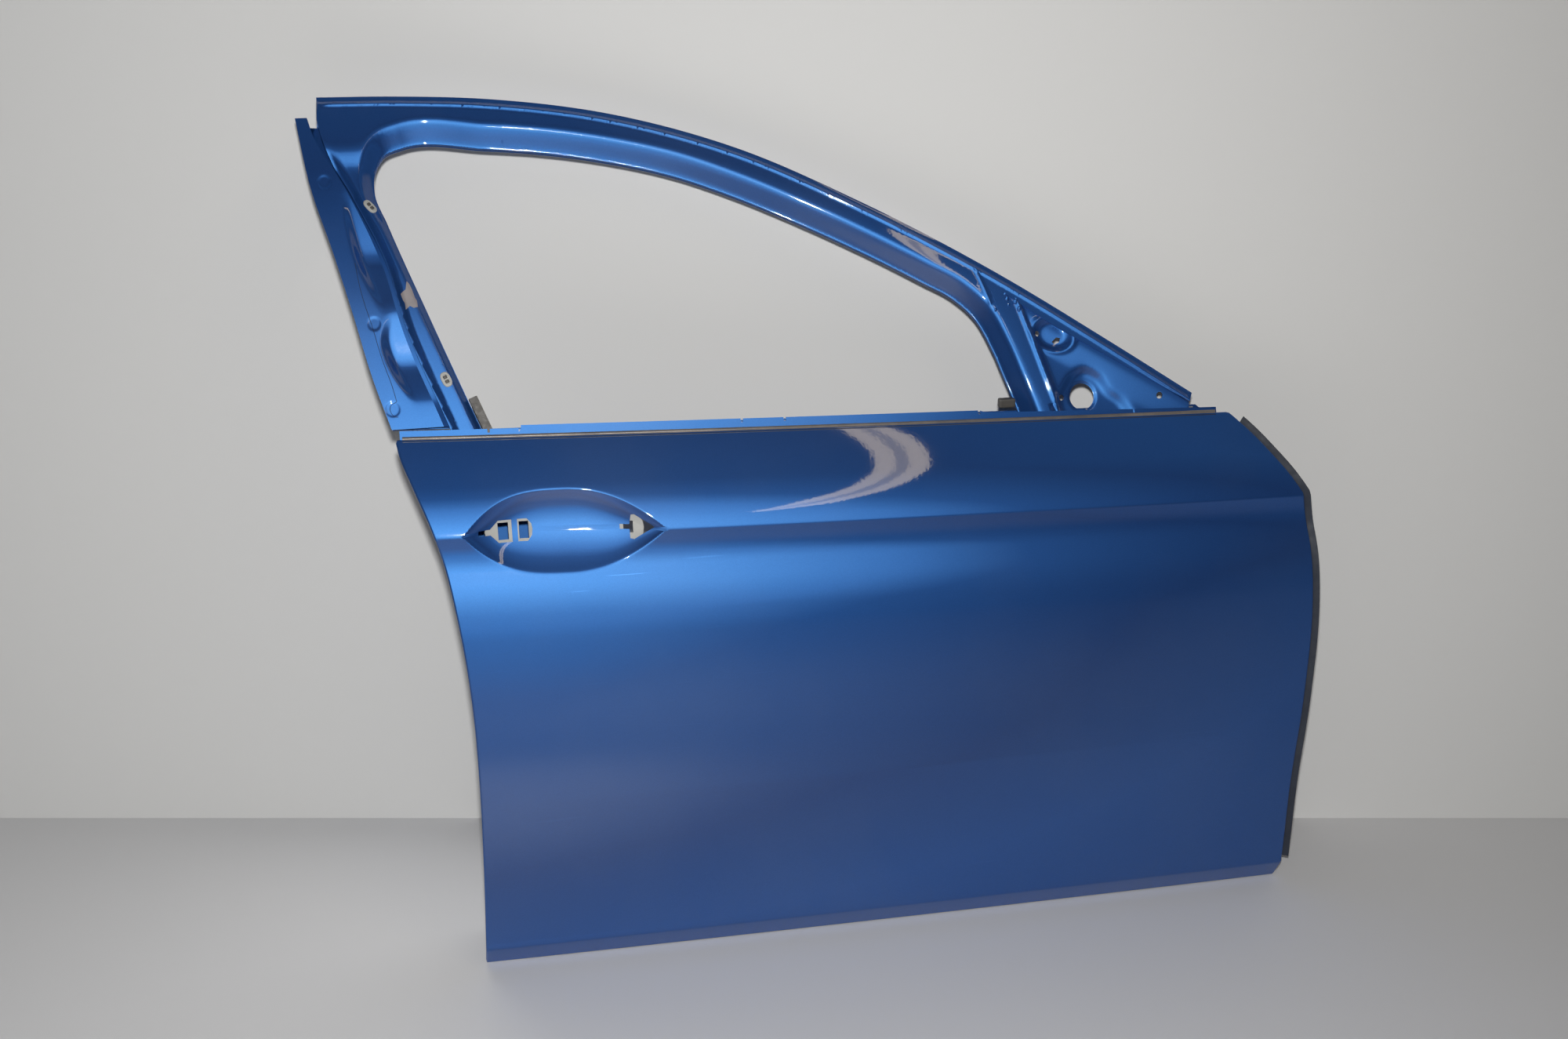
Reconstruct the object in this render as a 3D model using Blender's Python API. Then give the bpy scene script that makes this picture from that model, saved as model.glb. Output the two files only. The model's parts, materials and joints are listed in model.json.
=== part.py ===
# Bare front door of a car, right-hand side, as it leaves the body shop: pressed aluminium skin
# and inner panel, window frame, belt stiffeners, impact beam and the few fittings still on it.
# Lengths are in metres. The sizes below are measured from the lower rear corner of the skin:
# X runs forward, Y runs inboard and Z runs up. The whole door hangs on one empty, which puts
# the origin on the upper hinge face.
import math

import bmesh
import bpy
import numpy as np
from mathutils import Vector
from mathutils.geometry import delaunay_2d_cdt

for left_over in list(bpy.data.objects):
    bpy.data.objects.remove(left_over, do_unlink=True)

# Sheets and clearances
SKIN_SHEET = 0.0012
PANEL_SHEET = 0.0014
FRAME_SHEET = 0.0014
PLATE_SHEET = 0.0025
SEAT_GAP = 0.0005
HEM_LIP = 0.009

# The two flat walls of the inner panel: one carries the hinges, the other the lock
HINGE_X = 1.085
LOCK_X = 0.028

# Skin outline: its rear edge as (height, place along the door), its front edge as (height,
# distance ahead of the hinge wall), its crease and its belt line
REAR_EDGE = [(0.0, 0.0), (0.16, 0.006), (0.27, 0.008), (0.37, 0.006), (0.47, -0.003),
             (0.55, -0.016), (0.60, -0.030), (0.645, -0.048), (0.675, -0.060), (0.71, -0.066)]
FRONT_EDGE_LOW = [(0.0, 0.019), (0.04, 0.021), (0.15, 0.027), (0.27, 0.041), (0.40, 0.050),
                  (0.48, 0.047), (0.56, 0.037)]
FRONT_CORNER = 0.556
FRONT_EDGE_HIGH = [(0.556, 0.0375), (0.583, 0.020), (0.605, 0.003), (0.629, -0.017),
                   (0.67, -0.059)]
CREASE_REAR = 0.583
CREASE_FALL = 0.026
BELT_REAR = 0.692
BELT_FALL = 0.031
SILL_FOLD = 0.030
SILL_TUCK = 0.70
PLAN_BOW = 0.010
PLAN_MIDDLE = 0.55
PLAN_HALF = 0.60
BOW_AT_SILL = 0.3
BOW_RISE = 3.0

# Tilt of the skin from upright, in degrees, at heights above and below the crease
SKIN_TILTS = [(-0.62, -4.0), (-0.40, 1.0), (-0.28, 3.0), (-0.13, 4.5), (-0.10, 7.0), (-0.08, 12.0),
              (-0.060, 18.0), (-0.045, 18.0), (-0.030, 6.0), (-0.014, -1.0), (-0.0001, -3.0),
              (0.0001, 18.0), (0.016, 25.0), (0.036, 32.0), (0.056, 38.0), (0.16, 40.0)]

# Almond-shaped handle recess, centred on the crease
RECESS_X = 0.136
RECESS_HALF = 0.126
RECESS_HEIGHT = 0.050
RECESS_DEPTH = 0.015
RECESS_REAR_POWER = 3.0
RECESS_FRONT_POWER = 2.2
RECESS_TIP_POWER = 0.8
BOWL_TIP = 0.4
LATCH_CUT = [(0.029, 0.0032), (0.044, 0.0036), (0.054, 0.0135), (0.071, 0.0135),
             (0.071, -0.0135), (0.054, -0.0135), (0.044, -0.0036), (0.029, -0.0032)]
LOCK_CUT = [(0.078, 0.0135), (0.090, 0.0135), (0.0955, 0.007), (0.0965, 0.0),
            (0.0955, -0.007), (0.090, -0.0135), (0.078, -0.0135)]
PIVOT_CUT = [(0.205, 0.003), (0.217, 0.003), (0.219, 0.0155), (0.223, 0.0163), (0.248, 0.0008),
             (0.222, -0.0145), (0.217, -0.0138), (0.217, -0.003), (0.205, -0.003)]

# Inner panel: a pan whose floor leans inboard towards the belt, with flat hinge and lock walls
PAN_Y = 0.088
PAN_LEAN = 0.075
WALL_DRAFT = 0.03
LOCK_WALL_TOP = 0.50
PAN_FOOT = 0.034
FLANGE_WIDTH = 0.014
FRONT_FLANGE = 0.022
CORNER_CUT = 0.012
PAN_TOP = 0.004
SERVICE_OPENING = [(0.110, 0.250), (0.150, 0.215), (HINGE_X - 0.525, 0.235),
                   (HINGE_X - 0.475, 0.275), (HINGE_X - 0.445, 0.360), (HINGE_X - 0.425, 0.500),
                   (HINGE_X - 0.455, 0.545), (0.200, 0.560), (0.150, 0.530), (0.120, 0.420)]
FRONT_OPENING = [(HINGE_X - 0.345, 0.400), (HINGE_X - 0.315, 0.375), (HINGE_X - 0.155, 0.375),
                 (HINGE_X - 0.125, 0.400), (HINGE_X - 0.120, 0.500), (HINGE_X - 0.155, 0.540),
                 (HINGE_X - 0.325, 0.545), (HINGE_X - 0.355, 0.510)]
SPEAKER = (HINGE_X - 0.225, 0.215, 0.080)
RIM_WIDTH = 0.008
RIM_DROP = 0.004
PLUG_SIDES = 16
PLUG_HOLES = [(0.110, 0.120, 0.018), (0.420, 0.125, 0.018), (HINGE_X - 0.395, 0.120, 0.014)]
PLUG_BRIM = 0.0035
PLUG_BRIM_SHEET = 0.002
PLUG_TIP = 0.001

# Hinges, check strap and lock
HINGE_Y = 0.045
HINGE_UPPER = 0.470
HINGE_LOWER = 0.150
HINGE_BOLT_SPACING = 0.044
HINGE_BOLT_HOLE = 0.010
DRILL_LENGTH = 0.020
STRAP_HEIGHT = 0.310
STRAP_SLOT = (0.034, 0.016)
WIRING_HEIGHT = 0.237
WIRING_HOLE = 0.040
LOCK_HEIGHT = 0.400
LOCK_Y = 0.050
LOCK_SLOT = (0.030, 0.060)
LOCK_SCREW_HOLE = 0.0075
LOCK_SCREWS = [(-0.024, 0.020), (-0.024, -0.020), (0.024, 0.0)]

# Plates behind them: reach outboard and inboard of the middle, half height
HINGE_PLATE = (0.028, 0.036, 0.042)
HINGE_PLATE_SHEET = 0.003
STRAP_PLATE = (0.026, 0.034, 0.028)
LOCK_PLATE = (0.036, 0.036, 0.050)

# Window frame: its outer face leans and curves inboard above the belt
FRAME_FOOT = 0.69
FRAME_Y = 0.090
FRAME_TILT = 0.364
FRAME_CURVE = 0.45
ROOF_EDGE = [(-0.133, 1.099), (-0.037, 1.097), (0.084, 1.090), (0.245, 1.066), (0.405, 1.019),
             (0.564, 0.946), (0.724, 0.858), (0.886, 0.755), (0.990, 0.686)]
WINDOW_EDGE = [(0.076, 0.620), (0.041, 0.707), (-0.010, 0.836), (-0.054, 0.949), (-0.0675, 0.988),
               (-0.0655, 1.012), (-0.052, 1.033), (-0.028, 1.0415), (0.078, 1.0365), (0.158, 1.028),
               (0.239, 1.014), (0.319, 0.994), (0.398, 0.965), (0.477, 0.930), (0.557, 0.891),
               (0.637, 0.848), (0.677, 0.825), (0.703, 0.800), (0.723, 0.760), (0.737, 0.720),
               (0.750, 0.682), (0.768, 0.620)]
CHANNEL_LINE = [(-0.134, 1.070), (-0.128, 1.045), (-0.096, 0.983), (-0.060, 0.905),
                (-0.040, 0.825), (0.004, 0.706), (0.036, 0.620)]
SEAM_LINE = [(0.743, 0.823), (0.786, 0.681), (0.805, 0.620)]
SAIL_TOP = [(0.743, 0.823), (0.805, 0.781), (0.870, 0.742), (0.930, 0.707), (0.984, 0.675)]
RETURN_DEPTH = 0.016
RETURN_FLAT = 0.004
RETURN_WIDTH = 0.020
LEG_DEPTH = 0.008
ROOF_FLANGE = 0.010
ROOF_STEP = 0.014
ROOF_DROP = 0.005
BOX_DEPTH = 0.040
BOX_DEPTH_LOW = 0.026
LEG_TOP = 0.98
LEG_BLEND = 0.05
WEB = 0.004
LEG_FOOT = (0.030, 0.620)
BOX_FLANGE = 0.010
BOX_WALL = 0.006
LEG_END = 0.1

# Plate on the rear leg of the frame
PLATE_OUTER = [(-0.161, 1.073), (-0.146, 0.989), (-0.124, 0.915), (-0.104, 0.840),
               (-0.086, 0.766), (-0.0670, 0.704)]
PLATE_INNER = [(-0.146, 1.073), (-0.138, 1.048), (-0.122, 1.020), (-0.101, 0.983),
               (-0.066, 0.905), (-0.046, 0.825), (-0.0027, 0.704)]
PLATE_DEPTH = 0.001
POCKET_DEPTH = 0.011
PAD_HEIGHT = 0.004
UPPER_POCKET = (-0.085, 0.915, 0.072, 0.013)
LOWER_POCKET = (-0.058, 0.787, 0.052, 0.009)
LOWER_PAD = (-0.034, 0.780, 0.060, 0.014)
POCKET_SLANT = (0.316, -0.949)

# Mirror corner
WIRE_HOLE = (0.836, 0.6935, 0.0168)
MIRROR_HOLES = [(0.781, 0.771, 0.0042), (0.805, 0.693, 0.0042), (0.939, 0.687, 0.0042)]
MIRROR_SLOT = (0.809, 0.761, 0.0042)
BULB = (0.812, 0.765, 0.024)
SWAGE = [(0.797, 0.700), (0.812, 0.716), (0.837, 0.7265), (0.862, 0.715), (0.877, 0.697),
         (0.899, 0.688), (0.908, 0.670)]
SAIL_STEP = 0.006
SAIL_FLOOR = 0.007
SAIL_WALL = 0.006
SAIL_FOOT = 0.008
BULB_WALL = 0.008
SEAM_LAP = 0.008
RIM_LAP = 0.003
RIDGE_OFFSET = 0.017
POINT_CLEAR = 0.004
SAIL_NET = (0.750, 0.668, 0.0085)
MIRROR_PLATE = [(0.790, 0.716), (0.818, 0.742), (0.842, 0.742), (0.880, 0.717), (0.915, 0.697),
                (0.962, 0.672), (0.870, 0.668), (0.862, 0.7145), (0.812, 0.7145), (0.800, 0.672),
                (0.795, 0.672)]

# Belt stiffeners
BELT_FLANGE = 0.0115
BELT_FLANGE_REAR = 0.008
BELT_WEB = 0.055
BELT_NOTCHES = [0.052, 0.091, 0.374, 0.430, 0.690, 0.905]
NOTCH_WIDTH = 0.003
BELT_WEB_START = 0.0
BELT_RIB = 0.016
BELT_RIB_FALL = 0.003
BELT_ENDS = (-0.058, HINGE_X - 0.063)
BELT_JOG = (0.002, 0.006)
STRIP_TUCK = (0.0108, 0.007)
NOTCH_DEPTH = 0.0045
INNER_BELT_ENDS = (0.020, HINGE_X - 0.075)
HAT_DEPTH = 0.012
HAT_SECTION = ((0.056, 0.0), (0.046, 0.0), (0.041, HAT_DEPTH), (0.020, HAT_DEPTH), (0.015, 0.0),
               (0.006, 0.0))

# Impact beam: a two-chamber bar behind the skin, between two brackets
BEAM_FRONT = (HINGE_X - 0.050, 0.384)
BEAM_REAR = (0.080, 0.215)
BEAM_Y = -0.008
BEAM_HEIGHT = 0.058
BEAM_DEPTH = 0.026
BEAM_WALL = 0.0025
BRACKET_LAP = 0.060
BRACKET_EDGES = (-0.037, -0.014, 0.014, 0.037)
BRACKET_TAPER = 0.35
BRACKET_TURN = 0.035
MASTIC_SHARES = (0.22, 0.5, 0.78)
MASTIC_HALF = (0.020, 0.011)

SEAL_REACH = 0.0095
SEAL_BODY = 0.004
SEAL_SEAT = 0.011
SEAL_ENDS = (0.038, 0.646)
SEAL_SHOULDERS = (0.004, 0.006)
SEAL_TIP = (0.001, 0.003)
SEAL_WAIST = 0.002

# Fittings: handle carrier, glass guides, frame clips, pads and frame brackets
CARRIER_SHEET = 0.003
CARRIER_HALF = (0.098, 0.026)
CARRIER_POWER = 0.75
CARRIER_GAP = 0.0009
CARRIER_WINDOWS = ((0.054, 0.067, 0.010), (0.080, 0.092, 0.010), (0.209, 0.221, 0.007))
GUIDE_WIDTH = 0.013
GUIDE_REACH = 0.011
GUIDE_WALL = 0.0016
GUIDE_END = 0.450
REAR_GUIDE_TOP = 0.736
FRONT_GUIDE_TOP = 0.676
GUIDE_FOOT = (0.7342, 0.690)
GUIDE_FOOT_SIZE = (0.022, 0.012, 0.012)
GUIDE_FOOT_BEVEL = 0.002
LEG_LEAN = 0.38
UPPER_CLIP = (-0.0745, 0.969)
LOWER_CLIP = (0.0065, 0.759)
CLIP_SIZE = (0.011, 0.018, 0.003)
CLIP_GAP = 0.0008
CLIP_BEVEL = 0.001
PAD_SHEET = 0.002
UPPER_PAD_BOX = ((0.36, 0.455), (0.80, 0.500))
LOWER_PAD_BOX = ((0.30, 0.060), (0.78, 0.170))
BRACKET_SEAT = (0.650, 0.628)
BRACKET_FOOT = (0.592, 0.572)
BRACKET_HALF = 0.012
REAR_BRACKET_X = 0.058
FRONT_BRACKET_X = 0.780

# The origin lies on the outside of the hinge wall, whose sheet is bent from both of its edges.
ORIGIN = Vector((HINGE_X + PANEL_SHEET * math.sqrt(0.5), HINGE_Y, HINGE_UPPER))
HEM_DEPTH = 2 * SKIN_SHEET + PANEL_SHEET + 2 * SEAT_GAP

door_datum = bpy.data.objects.new("door_datum", None)
door_datum.location = -ORIGIN
bpy.context.scene.collection.objects.link(door_datum)


def finish(name, color, roughness, metallic, coat=0.0):
    material = bpy.data.materials.new(name)
    material.use_nodes = True
    shader = material.node_tree.nodes["Principled BSDF"]
    shader.inputs["Base Color"].default_value = (*color, 1.0)
    shader.inputs["Roughness"].default_value = roughness
    shader.inputs["Metallic"].default_value = metallic
    shader.inputs["Coat Weight"].default_value = coat
    return material


BLUE_PAINT = finish("blue_paint", (0.02, 0.12, 0.42), 0.32, 0.75, 1.0)
BARE_ALUMINIUM = finish("bare_aluminium", (0.55, 0.56, 0.58), 0.38, 1.0)
BLACK_RUBBER = finish("black_rubber", (0.02, 0.02, 0.022), 0.7, 0.0)
GREY_PLASTIC = finish("grey_plastic", (0.36, 0.36, 0.35), 0.5, 0.0)
DARK_PLASTIC = finish("dark_plastic", (0.04, 0.04, 0.045), 0.5, 0.0)
FOAM_PAD = finish("foam_pad", (0.16, 0.16, 0.17), 0.9, 0.0)


# Smooth lines through a few measured points

def smooth_at(knots, at):
    places = [knot[0] for knot in knots]
    values = [knot[1] for knot in knots]
    slopes = np.gradient(values, places)
    at = min(max(at, places[0]), places[-1])
    i = min(max(int(np.searchsorted(places, at)) - 1, 0), len(knots) - 2)
    span = places[i + 1] - places[i]
    t = (at - places[i]) / span
    start, end = values[i], values[i + 1]
    leave, arrive = slopes[i] * span, slopes[i + 1] * span
    cubic = 2 * start - 2 * end + leave + arrive
    square = 3 * end - 3 * start - 2 * leave - arrive
    return ((cubic * t + square) * t + leave) * t + start


def smooth_line(points, spacing):
    """Points about one spacing apart on the smooth curve through the given points."""
    points = [Vector(point) for point in points]
    lengths = [0.0]
    for before, after in zip(points, points[1:]):
        lengths.append(lengths[-1] + (after - before).length)
    knots_x = [(length, point[0]) for length, point in zip(lengths, points)]
    knots_z = [(length, point[1]) for length, point in zip(lengths, points)]
    count = max(2, round(lengths[-1] / spacing))
    places = [lengths[-1] * i / count for i in range(count + 1)]
    return [(float(smooth_at(knots_x, at)), float(smooth_at(knots_z, at))) for at in places]


def distance_to(line, x, z):
    """Shortest distance from a point to a line of points, in the XZ plane."""
    line = np.asarray(line)
    start, run = line[:-1], line[1:] - line[:-1]
    share = ((np.array((x, z)) - start) * run).sum(axis=1) / (run ** 2).sum(axis=1)
    nearest = start + run * np.clip(share, 0.0, 1.0)[:, None]
    return float(np.sqrt(((nearest - np.array((x, z))) ** 2).sum(axis=1)).min())


def beside(line, distance):
    """The line moved sideways, to the left of its direction for a positive distance."""
    moved = []
    for i, point in enumerate(line):
        before = Vector(line[max(i - 1, 0)])
        after = Vector(line[min(i + 1, len(line) - 1)])
        along = (after - before).normalized()
        moved.append((point[0] - along[1] * distance, point[1] + along[0] * distance))
    return moved


def inside(loop, x, z):
    crossed = False
    for (ax, az), (bx, bz) in zip(loop, list(loop[1:]) + [loop[0]]):
        if (az > z) != (bz > z) and x < ax + (z - az) * (bx - ax) / (bz - az):
            crossed = not crossed
    return crossed


def closed(loop):
    return list(loop) + [loop[0]]


def circle(x, z, radius, sides):
    turns = [2 * math.pi * i / sides for i in range(sides)]
    return [(x + radius * math.cos(a), z + radius * math.sin(a)) for a in turns]


# Surface of the skin

def crease_z(x):
    return CREASE_REAR - CREASE_FALL * x


def belt_z(x):
    return BELT_REAR - BELT_FALL * x


def rear_x(z):
    return smooth_at(REAR_EDGE, z)


def front_x(z):
    return HINGE_X + smooth_at(FRONT_EDGE_HIGH if z > FRONT_CORNER else FRONT_EDGE_LOW, z)


TILT_HEIGHTS = np.arange(SKIN_TILTS[0][0], SKIN_TILTS[-1][0], 0.0005)
TILT_SLOPES = np.tan(np.radians(np.interp(TILT_HEIGHTS, *zip(*SKIN_TILTS))))
TILT_DEPTHS = np.cumsum(TILT_SLOPES) * 0.0005


def section_y(height):
    return float(np.interp(height, TILT_HEIGHTS, TILT_DEPTHS))


SILL_Y = section_y(SILL_FOLD - CREASE_REAR) + SILL_TUCK * SILL_FOLD


def plain_skin_y(x, z):
    """Outer face of the skin without its handle recess."""
    high = max(z, SILL_FOLD)
    bow = PLAN_BOW * min(1.0, BOW_AT_SILL + high * BOW_RISE)
    bow_shape = ((x - PLAN_MIDDLE) / PLAN_HALF) ** 2 - (PLAN_MIDDLE / PLAN_HALF) ** 2
    tuck = SILL_TUCK * (high - z)
    return section_y(high - crease_z(x)) - SILL_Y + bow * bow_shape + tuck


def recess_share(x, z):
    """Place inside the handle recess: along it, and across it from -1 to 1; None outside."""
    along = (x - RECESS_X) / RECESS_HALF
    if abs(along) >= 1.0:
        return None
    power = RECESS_REAR_POWER if along < 0 else RECESS_FRONT_POWER
    half = RECESS_HEIGHT * (1 - abs(along) ** power)
    across = (z - crease_z(x)) / half
    return (along, across, half) if abs(across) < 1.0 else None


def skin_y(x, z):
    share = recess_share(x, z)
    if share is None:
        return plain_skin_y(x, z)
    along, across, half = share
    upper = plain_skin_y(x, crease_z(x) + half)
    lower = plain_skin_y(x, crease_z(x) - half)
    bowl = RECESS_DEPTH * (half / RECESS_HEIGHT) ** RECESS_TIP_POWER * (1 - across * across)
    return lower + (upper - lower) * (across + 1) / 2 + bowl


def raised(surface, x, z, depth):
    """Point at a depth behind a surface, square to it."""
    reach = 0.001
    slope_x = (surface(x + reach, z) - surface(x - reach, z)) / (2 * reach)
    slope_z = (surface(x, z + reach) - surface(x, z - reach)) / (2 * reach)
    inboard = Vector((-slope_x, 1.0, -slope_z)).normalized()
    return Vector((x, surface(x, z), z)) + inboard * depth


def skin_point(x, z, depth=0.0):
    return raised(skin_y, x, z, depth)


# Surface of the window frame

def frame_y(x, z):
    rise = z - FRAME_FOOT
    return FRAME_Y + FRAME_TILT * rise + FRAME_CURVE * rise * rise


def frame_point(x, z, depth=0.0):
    return raised(frame_y, x, z, depth)


# Mesh builders

def add_object(name, mesh_data, material, thickness=0.0):
    mesh = bpy.data.meshes.new(name)
    mesh_data.to_mesh(mesh)
    mesh_data.free()
    mesh.materials.append(material)
    mesh.shade_smooth()
    mesh.set_sharp_from_angle(angle=math.radians(30))
    piece = bpy.data.objects.new(name, mesh)
    piece.parent = door_datum
    bpy.context.scene.collection.objects.link(piece)
    if thickness:
        wall = piece.modifiers.new("sheet", 'SOLIDIFY')
        wall.thickness = thickness
        wall.offset = -1.0
    return piece


def face_outboard(mesh_data):
    """Turn an open sheet so that its faces look outboard."""
    bmesh.ops.recalc_face_normals(mesh_data, faces=mesh_data.faces)
    lean = sum(face.normal.y * face.calc_area() for face in mesh_data.faces)
    if lean > 0:
        bmesh.ops.reverse_faces(mesh_data, faces=mesh_data.faces)


def flat_mesh(mesh_data, lift, outline, holes=(), lines=(), points=()):
    """Triangulate an outline with its holes, fold lines and free points, and lift it."""
    places, edges = [], []
    for line, is_ring in [(outline, True)] + [(h, True) for h in holes] + [(f, False) for f in lines]:
        first = len(places)
        places.extend(Vector(point) for point in line)
        edges.extend((i, i + 1) for i in range(first, len(places) - 1))
        if is_ring:
            edges.append((len(places) - 1, first))
    places.extend(Vector(point) for point in points)
    found, _, faces, _, _, _ = delaunay_2d_cdt(places, edges, [], 1, 1e-6)
    corners = [mesh_data.verts.new(lift(point.x, point.y)) for point in found]
    for face in faces:
        middle = sum((found[i] for i in face), Vector((0.0, 0.0))) / len(face)
        if not any(inside(hole, *middle) for hole in holes):
            mesh_data.faces.new([corners[i] for i in face])
    loose = [vert for vert in mesh_data.verts if not vert.link_faces]
    bmesh.ops.delete(mesh_data, geom=loose, context='VERTS')


def sheet(name, material, thickness, lift, outline, holes=(), lines=(), points=()):
    mesh_data = bmesh.new()
    flat_mesh(mesh_data, lift, outline, holes, lines, points)
    face_outboard(mesh_data)
    return add_object(name, mesh_data, material, thickness)


def lofted_sheet(name, material, thickness, rows):
    """Pressed strip through equal rows of points."""
    mesh_data = bmesh.new()
    grid = [[mesh_data.verts.new(point) for point in row] for row in rows]
    for low, high in zip(grid, grid[1:]):
        for i in range(len(low) - 1):
            mesh_data.faces.new((low[i], low[i + 1], high[i + 1], high[i]))
    face_outboard(mesh_data)
    return add_object(name, mesh_data, material, thickness)


def sweep(name, material, path, profile, side):
    """Closed profile carried along a path; its first axis keeps to the side direction."""
    mesh_data = bmesh.new()
    rings = []
    for i, point in enumerate(path):
        along = (path[min(i + 1, len(path) - 1)] - path[max(i - 1, 0)]).normalized()
        across = (side - along * side.dot(along)).normalized()
        up = across.cross(along)
        rings.append([mesh_data.verts.new(point + across * a + up * b) for a, b in profile])
    count = len(profile)
    for low, high in zip(rings, rings[1:]):
        for i in range(count):
            after = (i + 1) % count
            mesh_data.faces.new((low[i], low[after], high[after], high[i]))
    mesh_data.faces.new(rings[0])
    mesh_data.faces.new(list(reversed(rings[-1])))
    bmesh.ops.recalc_face_normals(mesh_data, faces=mesh_data.faces)
    return add_object(name, mesh_data, material)


def box(name, material, low, high, bevel=0.0):
    mesh_data = bmesh.new()
    bmesh.ops.create_cube(mesh_data, size=1.0)
    low, high = Vector(low), Vector(high)
    for vert in mesh_data.verts:
        vert.co = (low + high) / 2 + Vector(a * b for a, b in zip(vert.co, high - low))
    piece = add_object(name, mesh_data, material)
    if bevel:
        round_off = piece.modifiers.new("edges", 'BEVEL')
        round_off.width = bevel
        round_off.segments = 2
    return piece


def cut(piece, cutter):
    cutter.hide_render = True
    cutter.display_type = 'WIRE'
    hole = piece.modifiers.new(cutter.name, 'BOOLEAN')
    hole.operation = 'DIFFERENCE'
    hole.solver = 'EXACT'
    hole.object = cutter


def drill(name, centre, axis, radius, length, sides=14):
    """Round cutter whose middle is at the centre."""
    mesh_data = bmesh.new()
    bmesh.ops.create_cone(mesh_data, cap_ends=True, segments=sides, radius1=radius,
                          radius2=radius, depth=length)
    turn = Vector((0, 0, 1)).rotation_difference(Vector(axis)).to_matrix()
    for vert in mesh_data.verts:
        vert.co = turn @ vert.co + Vector(centre)
    return add_object(name, mesh_data, BARE_ALUMINIUM)


# Outer skin. Rows of the mesh follow the sill fold, the crease and the belt line, so that each
# keeps its sharp line; the handle recess is a patch of its own inside them. The edge is hemmed:
# it turns back on itself around the flange of the inner panel.
SKIN_LEVELS = [("sill", 0.0), ("sill", 0.011), ("sill", 0.022), ("sill", SILL_FOLD),
               ("sill", 0.042), ("sill", 0.10), ("sill", 0.18), ("sill", 0.26), ("sill", 0.34),
               ("sill", 0.40), ("crease", -0.122), ("crease", -0.098), ("crease", -0.084),
               ("crease", -0.070), ("crease", -0.057), ("crease", -0.045), ("crease", -0.032),
               ("crease", -0.018), ("crease", 0.0), ("crease", 0.014), ("crease", 0.028),
               ("crease", 0.044), ("crease", 0.060), ("crease", 0.072), ("belt", -0.012),
               ("belt", 0.0)]
RECESS_ROWS = (13, 23)
RECESS_COLUMNS = (1, 9)
SKIN_COLUMNS = [0.0, 0.015, 0.045, 0.075, 0.110, 0.145, 0.180, 0.215, 0.245, 0.270]
SKIN_COLUMNS += [0.27 + 0.73 * i / 17 for i in range(1, 18)]


def level_z(level, x):
    base, height = level
    return {"sill": 0.0, "crease": crease_z(x), "belt": belt_z(x)}[base] + height


def skin_place(share, level):
    """Point of the outline grid: a share of the way forward, on one of the levels."""
    x = PLAN_MIDDLE
    for _ in range(12):
        z = level_z(level, x)
        x = rear_x(z) + (front_x(z) - rear_x(z)) * share
    return x, z


def recess_rim(scale, count=15):
    """Closed line round the recess, at a share of its half height."""
    upper, lower = [], []
    for i in range(count + 1):
        along = -math.cos(math.pi * i / count)
        power = RECESS_REAR_POWER if along < 0 else RECESS_FRONT_POWER
        x = RECESS_X + RECESS_HALF * along * (BOWL_TIP + (1 - BOWL_TIP) * scale)
        half = RECESS_HEIGHT * scale * (1 - abs(along) ** power)
        upper.append((x, crease_z(x) + half))
        lower.append((x, crease_z(x) - half))
    return upper + lower[-2:0:-1]


def on_crease(loop):
    return [(x, crease_z(x) + height) for x, height in loop]


def outer_skin():
    mesh_data = bmesh.new()
    places = [[skin_place(share, level) for share in SKIN_COLUMNS] for level in SKIN_LEVELS]
    grid = [[mesh_data.verts.new(skin_point(*place)) for place in row] for row in places]
    low_row, high_row = RECESS_ROWS
    low_col, high_col = RECESS_COLUMNS
    for j in range(len(grid) - 1):
        for i in range(len(grid[0]) - 1):
            if low_row <= j < high_row and low_col <= i < high_col:
                continue
            mesh_data.faces.new((grid[j][i], grid[j][i + 1], grid[j + 1][i + 1], grid[j + 1][i]))
    bottom = places[low_row][low_col:high_col + 1]
    top = places[high_row][low_col:high_col + 1]
    right = [places[j][high_col] for j in range(low_row + 1, high_row)]
    left = [places[j][low_col] for j in range(low_row + 1, high_row)]
    border = bottom + right + top[::-1] + left[::-1]
    rim = recess_rim(1.0)
    crease_row = SKIN_LEVELS.index(("crease", 0.0))
    tips = [(RECESS_X - RECESS_HALF, crease_z(RECESS_X - RECESS_HALF)),
            (RECESS_X + RECESS_HALF, crease_z(RECESS_X + RECESS_HALF))]
    crease_ends = [[places[crease_row][low_col], tips[0]], [tips[1], places[crease_row][high_col]]]
    free = [places[j][i] for j in range(low_row + 1, high_row) for i in range(low_col + 1, high_col)
            if not inside(rim, *places[j][i]) and distance_to(rim, *places[j][i]) > POINT_CLEAR]
    bowl = [recess_rim(scale, 12) for scale in (0.8, 0.55, 0.3)]
    cuts = [on_crease(loop) for loop in (LATCH_CUT, LOCK_CUT, PIVOT_CUT)]
    bowl_points = [point for loop in bowl for point in loop
                   if not any(inside(hole, *point) or distance_to(closed(hole), *point) < POINT_CLEAR
                              for hole in cuts)]
    lines = [closed(rim)] + crease_ends
    flat_mesh(mesh_data, skin_point, border, cuts, lines, free + bowl_points)
    bmesh.ops.remove_doubles(mesh_data, verts=mesh_data.verts, dist=1e-6)
    add_hem(mesh_data, places)
    face_outboard(mesh_data)
    return add_object("outer_skin", mesh_data, BLUE_PAINT, SKIN_SHEET)


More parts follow.
